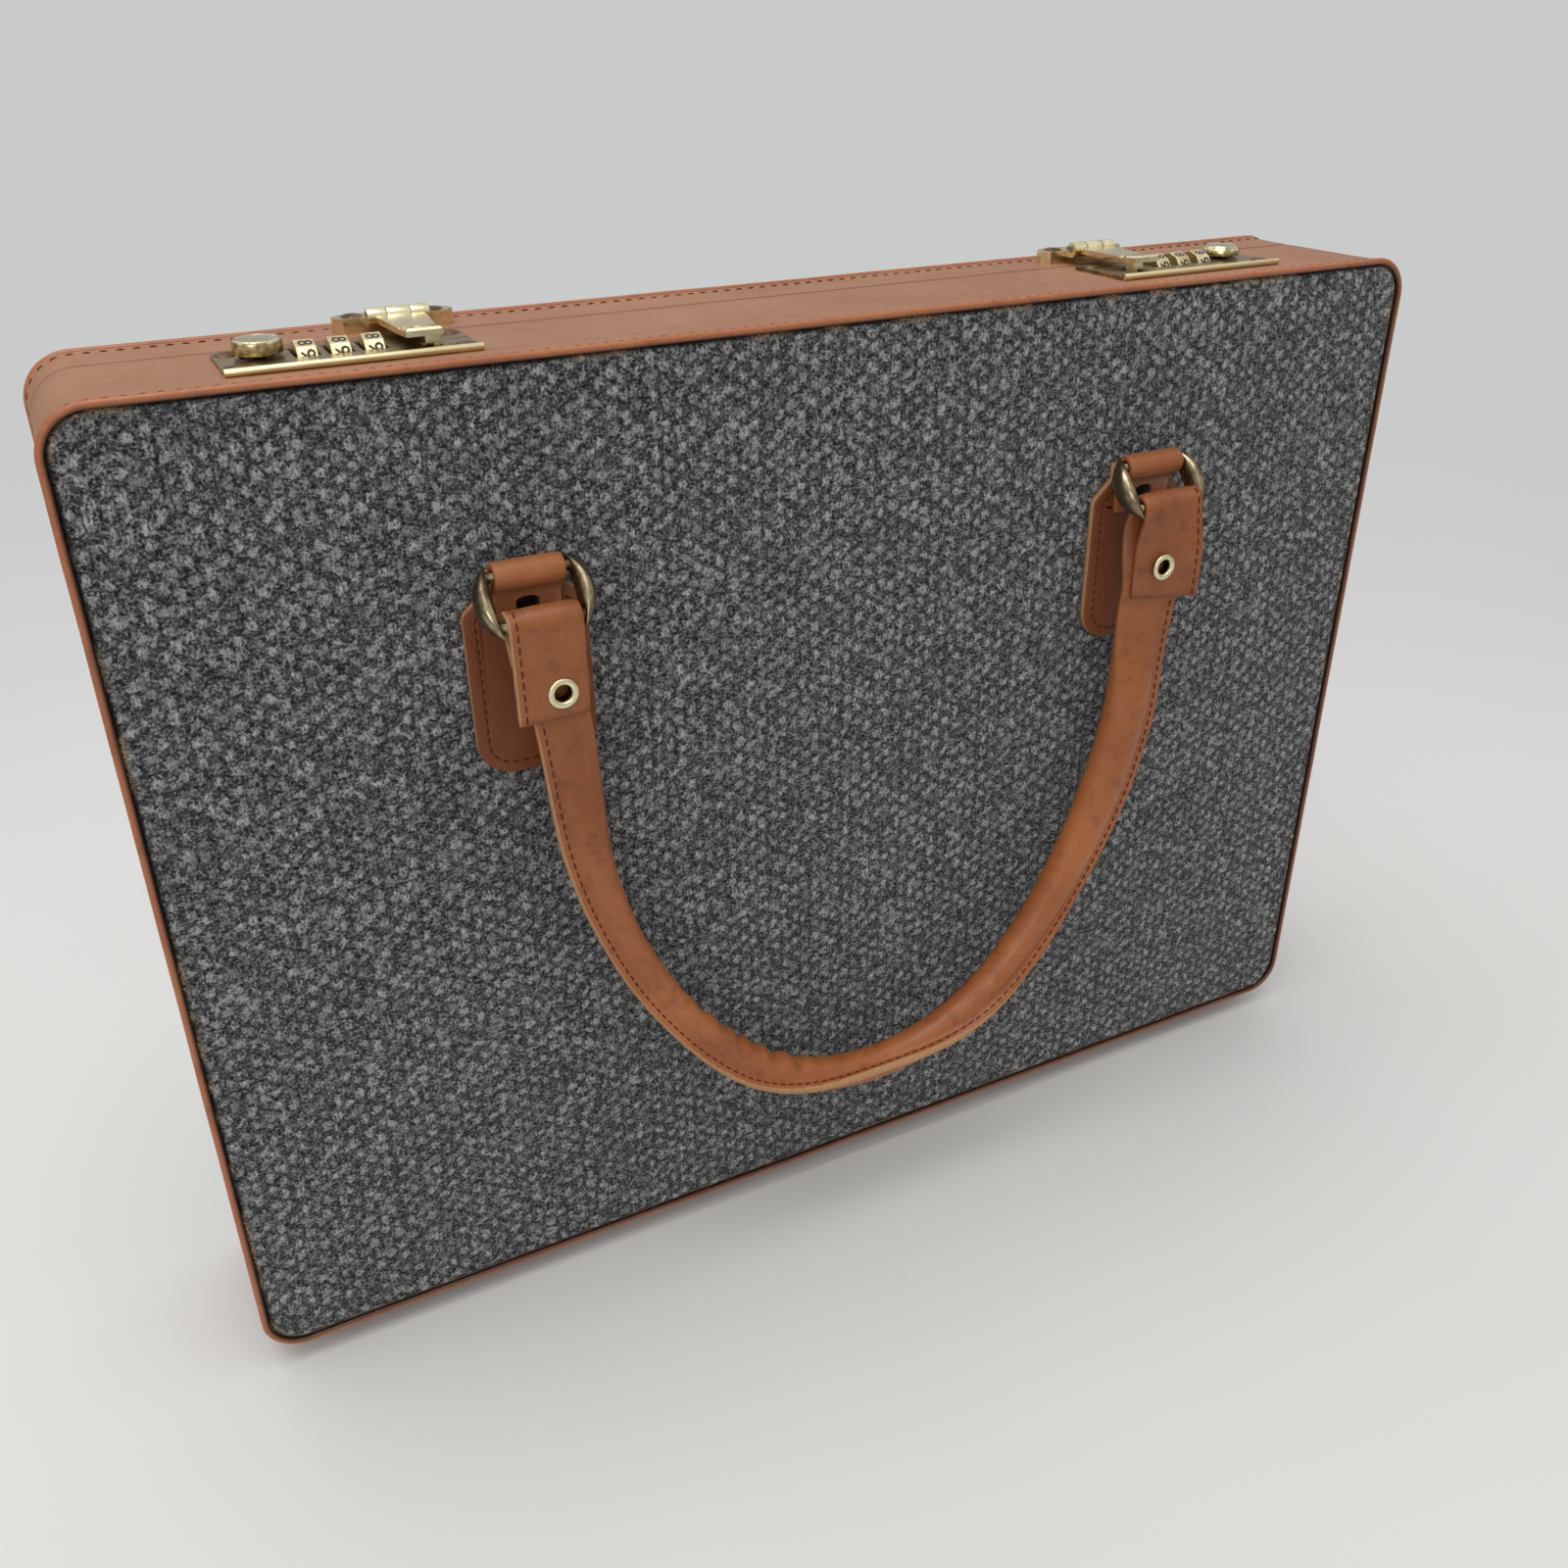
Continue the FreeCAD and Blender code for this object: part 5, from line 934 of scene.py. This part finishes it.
# Rings: two fat bronze crescents joined by two straight bars. They hang from the tabs' loops
# and carry the handle's folded ends, and are polished bright only where they are rubbed.
ring_bronze = patina("antique bronze", 0.5, "#A39474", "#5F5341", 0.22, 0.4, 6, (1, 1, 0.5), depth=0.2)
BAR_TOP, BAR_LOW = (40.5, 268.8), (51.0, 257.67)
RING_HALF, RING_BAR = 11.4, 1.7
CRESCENT_TALL, CRESCENT_WIDE, CRESCENT_DEEP = 11.6, 5.4, 8.4
CRESCENT_STEPS, CRESCENT_SIDES = 26, 16


def crescent(centre_line, way_out):
    """Rows of one crescent: a full oval section that swells from point to point."""
    rows = []
    for step in range(CRESCENT_STEPS + 1):
        t = math.sin(math.pi / 2 * (2 * step / CRESCENT_STEPS - 1))
        fullness = max(1 - abs(t) ** 2.3, 0.0)
        bow = 0.1 * CRESCENT_WIDE * (1 - t * t)
        wide = max(CRESCENT_WIDE * fullness, 0.25)
        deep = max(CRESCENT_DEEP * fullness ** 0.9, 0.3)
        row = []
        for k in range(CRESCENT_SIDES):
            angle = 2 * math.pi * k / CRESCENT_SIDES
            out = RING_HALF + bow + wide / 2 + wide / 2 * math.cos(angle)
            row.append(centre_line(way_out * out, deep / 2 * math.sin(angle), t * CRESCENT_TALL))
        rows.append(row)
    return rows


for face, way in (("front", -1), ("back", 1)):
    for side in ("left", "right"):
        name = f"{face}_ring_{side}"
        low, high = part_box(name)
        across = (low[0] + high[0]) / 2 / MM
        lean = np.array(BAR_LOW) - np.array(BAR_TOP)
        lean /= np.linalg.norm(lean)
        middle = (np.array(BAR_LOW) + np.array(BAR_TOP)) / 2

        def on_ring(x, deep, along):
            depth = middle[0] - lean[0] * along - lean[1] * deep
            height = middle[1] - lean[1] * along + lean[0] * deep
            return ((across + x) * MM, way * depth * MM, height * MM)

        pieces = [crescent(on_ring, -1), crescent(on_ring, 1)]
        reach = RING_HALF + 0.32 * CRESCENT_WIDE
        for bar in (-1, 1):
            rows = []
            for x in (-reach, -reach / 2, 0, reach / 2, reach):
                rows.append([on_ring(x, RING_BAR * math.sin(2 * math.pi * k / 16),
                                     bar * 7.65 + RING_BAR * math.cos(2 * math.pi * k / 16))
                             for k in range(16)])
            pieces.append(rows)
        parts = [loft("part", rows, ring_bronze, caps=True) for rows in pieces]
        for part in parts:
            tidy_normals(part)
        ring = merged(f"{name}_bronze", parts)
        settle(ring, name, "ring_bronze", name)

# Handles: cowhide rolled round a cord, its edges sewn together as a flange that turns from
# the front at the grip to the outside on the legs. Each end is pressed flat, taken up behind
# the ring's lower bar, over it and down in front, and pinned with an eyelet.
handle_hide = leather("oiled tan handle cowhide", "#8E4F28", "#AC6737", "#5A2C15", 1.7, 0.38, 0.55, 0.4)
handle_thread = waxed_thread("red-brown waxed thread", "#6A2F1E")
GRIP_LOW, GRIP_RADIUS, BEND_RADIUS = 60.47, 74.0, 191.9
GRIP_TURN, LEG_TURN = math.radians(48), math.radians(84)
TUBE_RADIUS, FLANGE_REACH, FLANGE_HALF = 6.25, 3.5, 1.45
FOLD_RADIUS, STRAP_HALF = 3.4, 1.3
TUBE_DEPTH = 51.0
FLAT_START, FLAT_END = 176.0, 222.0
STATION = 2.4


def ease(value, start, end):
    t = min(max((value - start) / (end - start), 0), 1)
    return t * t * (3 - 2 * t)


def handle_half(flap_low):
    """Stations of one half, from the middle of the grip to the flap's end: place across,
    depth and height, the outward direction across and up, and the station's kind."""
    stations = []
    for k in range(int(GRIP_RADIUS * GRIP_TURN / STATION)):
        a = k * STATION / GRIP_RADIUS
        stations.append((GRIP_RADIUS * math.sin(a), TUBE_DEPTH,
                         GRIP_LOW + GRIP_RADIUS * (1 - math.cos(a)), math.sin(a), -math.cos(a)))
    turn_x = GRIP_RADIUS * math.sin(GRIP_TURN)
    turn_z = GRIP_LOW + GRIP_RADIUS * (1 - math.cos(GRIP_TURN))
    count = int(BEND_RADIUS * (LEG_TURN - GRIP_TURN) / STATION)
    for k in range(count + 1):
        a = GRIP_TURN + (LEG_TURN - GRIP_TURN) * k / count
        stations.append((turn_x + BEND_RADIUS * (math.sin(a) - math.sin(GRIP_TURN)), TUBE_DEPTH,
                         turn_z + BEND_RADIUS * (math.cos(GRIP_TURN) - math.cos(a)),
                         math.sin(a), -math.cos(a)))
    leg_x, leg_z = stations[-1][0], stations[-1][2]
    top = BAR_LOW[1]
    count = int((top - leg_z) / STATION)
    for k in range(1, count + 1):
        z = leg_z + (top - leg_z) * k / count
        back = TUBE_DEPTH - 0.4 * ease(z, FLAT_START, FLAT_END)
        depth = back + (TUBE_DEPTH - FOLD_RADIUS - back) * ease(z, 234, top - 3)
        x = leg_x + (z - leg_z) / math.tan(LEG_TURN)
        turned_up = ease(z, leg_z, FLAT_END)
        lean = LEG_TURN + (math.pi / 2 - LEG_TURN) * turned_up
        stations.append((x, depth, z, math.sin(lean), -math.cos(lean)))
    end_x = stations[-1][0]
    for k in range(1, 12):
        a = math.pi * k / 12
        stations.append((end_x, TUBE_DEPTH - FOLD_RADIUS * math.cos(a),
                         top + FOLD_RADIUS * math.sin(a), 1, 0))
    count = int((top - flap_low) / STATION)
    for k in range(count + 1):
        stations.append((end_x, TUBE_DEPTH + FOLD_RADIUS, top - (top - flap_low) * k / count, 1, 0))
    return stations


def rolled_section(half_u, half_v, power, reach, wall, shift):
    """The section: a raw-edged flange on the outside and the rolled body, in mm."""
    tip, root = half_u + reach + shift, half_u + 0.3 * reach + shift
    outline_of_edge = [(tip - 0.3, -wall), (root, -wall * 0.97)]
    start = math.asin(min((wall / half_v) ** (power / 2), 0.96))
    count = 21
    for k in range(count + 1):
        a = start + (2 * math.pi - 2 * start) * k / count
        u = half_u * math.copysign(abs(math.cos(a)) ** (2 / power), math.cos(a)) + shift
        v = -half_v * math.copysign(abs(math.sin(a)) ** (2 / power), math.sin(a))
        outline_of_edge.append((u, v))
    outline_of_edge += [(root, wall * 0.97), (tip - 0.3, wall), (tip, wall * 0.6), (tip + 0.05, 0),
                        (tip, -wall * 0.6)]
    return outline_of_edge


def handle(name, way, widths, strips, flap_ends, flap_twists):
    """Rows of the whole handle and the lines of its sewing, on both sides of the flange."""
    whole = [(-1, 0, s) for s in handle_half(flap_ends[0])[::-1]]
    whole += [(1, 1, s) for s in handle_half(flap_ends[1])[1:]]
    places = np.array([(sign * s[0], -s[1], s[2]) for sign, end, s in whole])
    along = np.concatenate(([0], np.cumsum(np.linalg.norm(np.diff(places, axis=0), axis=1))))
    ways = np.gradient(places, axis=0)
    ways /= np.linalg.norm(ways, axis=1)[:, None]
    rows, darkening, sewing = [], [], ([], [])
    for (sign, end, s), place, way_on, travelled in zip(whole, places, ways, along):
        flap_width = widths[end]
        x, depth, z = abs(place[0]), -place[1], place[2]
        on_flap = depth > TUBE_DEPTH + 0.2 or (z > BAR_LOW[1] + 0.1)
        flat = 1.0 if on_flap else ease(z, FLAT_START, FLAT_END)
        strip = strips[end]
        wide = flap_width if on_flap else strip + (flap_width - strip) * ease(z, 226, 240)
        broad = 1.0 if on_flap else ease(z, FLAT_START, FLAT_END) if end == 0 else ease(z, 95, 160)
        slim = 1 - 0.22 * ease(z, 75, 115) * (1 - ease(z, 140, 200)) if end == 0 else 1.0
        half_u = slim * (TUBE_RADIUS + ((wide - FLANGE_REACH) / 2 - TUBE_RADIUS) * broad)
        half_v = slim * (TUBE_RADIUS + (STRAP_HALF + 0.15 - TUBE_RADIUS) * flat)
        power = 2.0 + 1.8 * flat
        wall = FLANGE_HALF + (STRAP_HALF - FLANGE_HALF) * flat
        shift = -FLANGE_REACH / 2 * flat
        at_grip = 1 - ease(x, 0, 95)
        twist = math.radians(112 * at_grip + 12 * (1 - at_grip) * (1 - flat))
        off_bar = ease(BAR_LOW[1] - z, 1, 16) if on_flap else ease(z, 190, 225) * ease(BAR_LOW[1] - z, 0, 12)
        twist += math.radians(flap_twists[end]) * off_bar * (-1 if on_flap else 1)
        ragged = 0.22 * noise.noise(Vector((travelled / 1.7, sign, way)))
        section = rolled_section(half_u, half_v, power, FLANGE_REACH + ragged, wall, shift)
        u_way = np.array((sign * s[3], 0, s[4]))
        u_way = u_way - way_on * u_way.dot(way_on)
        u_way /= np.linalg.norm(u_way)
        v_way = np.cross(u_way, way_on)
        u_turned = u_way * math.cos(twist) + v_way * math.sin(twist)
        v_turned = v_way * math.cos(twist) - u_way * math.sin(twist)
        creased = sign < 0 and 14 < x < 92 and not on_flap
        strength = math.sin(math.pi * (x - 14) / 78) if creased else 0.0
        row = []
        for u, v in section:
            inside = u * math.cos(twist) - v * math.sin(twist)
            if creased and inside < 0:
                wave = math.sin(travelled * 2 * math.pi / 10.5 + math.sin(travelled / 7.0))
                swell = 1 + strength * 0.16 * wave * min(-inside / TUBE_RADIUS, 1)
                u, v = u * swell, v * swell
            p = place + u_turned * u + v_turned * v
            row.append((p[0] * MM, -way * p[1] * MM, p[2] * MM))
        rows.append(row)
        # The flaps are darker, and the legs grow darker towards them.
        darkening.append(0.25 if on_flap else 0.2 * ease(z, 150, 215))
        u = half_u + 0.42 * FLANGE_REACH + shift
        for line, face_way in zip(sewing, (1, -1)):
            p = place + u_turned * u + v_turned * face_way * wall
            out = v_turned * face_way
            line.append(((p[0] * MM, -way * p[1] * MM, p[2] * MM), (out[0], -way * out[1], out[2])))
    item = loft(f"{name}_leather", rows, handle_hide, raw_edge, caps=True, edge_columns=(25, 26, 27, 28))
    soil(item, np.repeat(darkening, len(rows[0])))
    runs = [([p for p, o in line], [o for p, o in line]) for line in sewing]
    thread = stitches(f"{name}_stitches", runs, handle_thread, 2.4 * MM, 3.5 * MM, 0.26 * MM)
    return item, thread


EYELET_X, EYELET_Z = 107.5, 237.2
HOLE_RADIUS = 2.85
HOLE_NEAR, HOLE_FAR = 62.0, 47.0


def punch_holes(item, way):
    """Punches the eyelets' holes through both layers of each flattened end."""
    for x in (-EYELET_X, EYELET_X):
        middle = (x * MM, way * (HOLE_NEAR + HOLE_FAR) / 2 * MM, EYELET_Z * MM)
        bpy.ops.mesh.primitive_cylinder_add(vertices=32, radius=HOLE_RADIUS * MM, location=middle,
                                            depth=(HOLE_NEAR - HOLE_FAR) * MM,
                                            rotation=(math.pi / 2, 0, 0))
        cut_away(item, bpy.context.object)


for face, way in (("front", -1), ("back", 1)):
    name = f"{face}_handle"
    item, thread = handle(name, way, (21.5, 23.6), (17.0, 20.0), (229.5, 226.0), (2, 20))
    punch_holes(item, way)
    settle(item, name, "handle_leather", name, f"{name}_core")
    settle(thread, name, "handle_leather")
eyelet_brass = patina("lacquered pale brass", 0.5, "#EDE6C2", "#D6CBA0", 0.28, 0.4, 4)
EYELET = ((4.55, 0.0), (4.6, 0.35), (4.35, 0.7), (3.75, 0.88), (3.1, 0.78), (2.7, 0.4), (2.5, -0.2),
          (2.45, -3.4), (2.75, -3.4), (2.8, -0.1))
FLAP_FACE = 55.75
EYELET_SIDES = 40
for face, way, body in (("front", -1, "front_handle"), ("back", 1, "back_handle")):
    rings = []
    for x in (-EYELET_X, EYELET_X):
        rows = []
        for k in range(EYELET_SIDES):
            angle = 2 * math.pi * k / EYELET_SIDES
            rows.append([((x + radius * math.cos(angle)) * MM, way * (FLAP_FACE + out) * MM,
                          (EYELET_Z + radius * math.sin(angle)) * MM) for radius, out in EYELET])
        rings.append(rows)
    # The barrel's inside and foot take the dark sheet: painted shade in the tube.
    first = loft(f"{face}_eyelets_brass", rings[0], eyelet_brass, shade_dark_sheet, round_rows=True,
                 edge_columns=(6, 7, 8))
    second = loft("second", rings[1], eyelet_brass, shade_dark_sheet, round_rows=True, edge_columns=(6, 7, 8))
    joined = merged(f"{face}_eyelets_brass", (first, second))
    settle(joined, body, "eyelet_brass", f"{face}_eyelets")
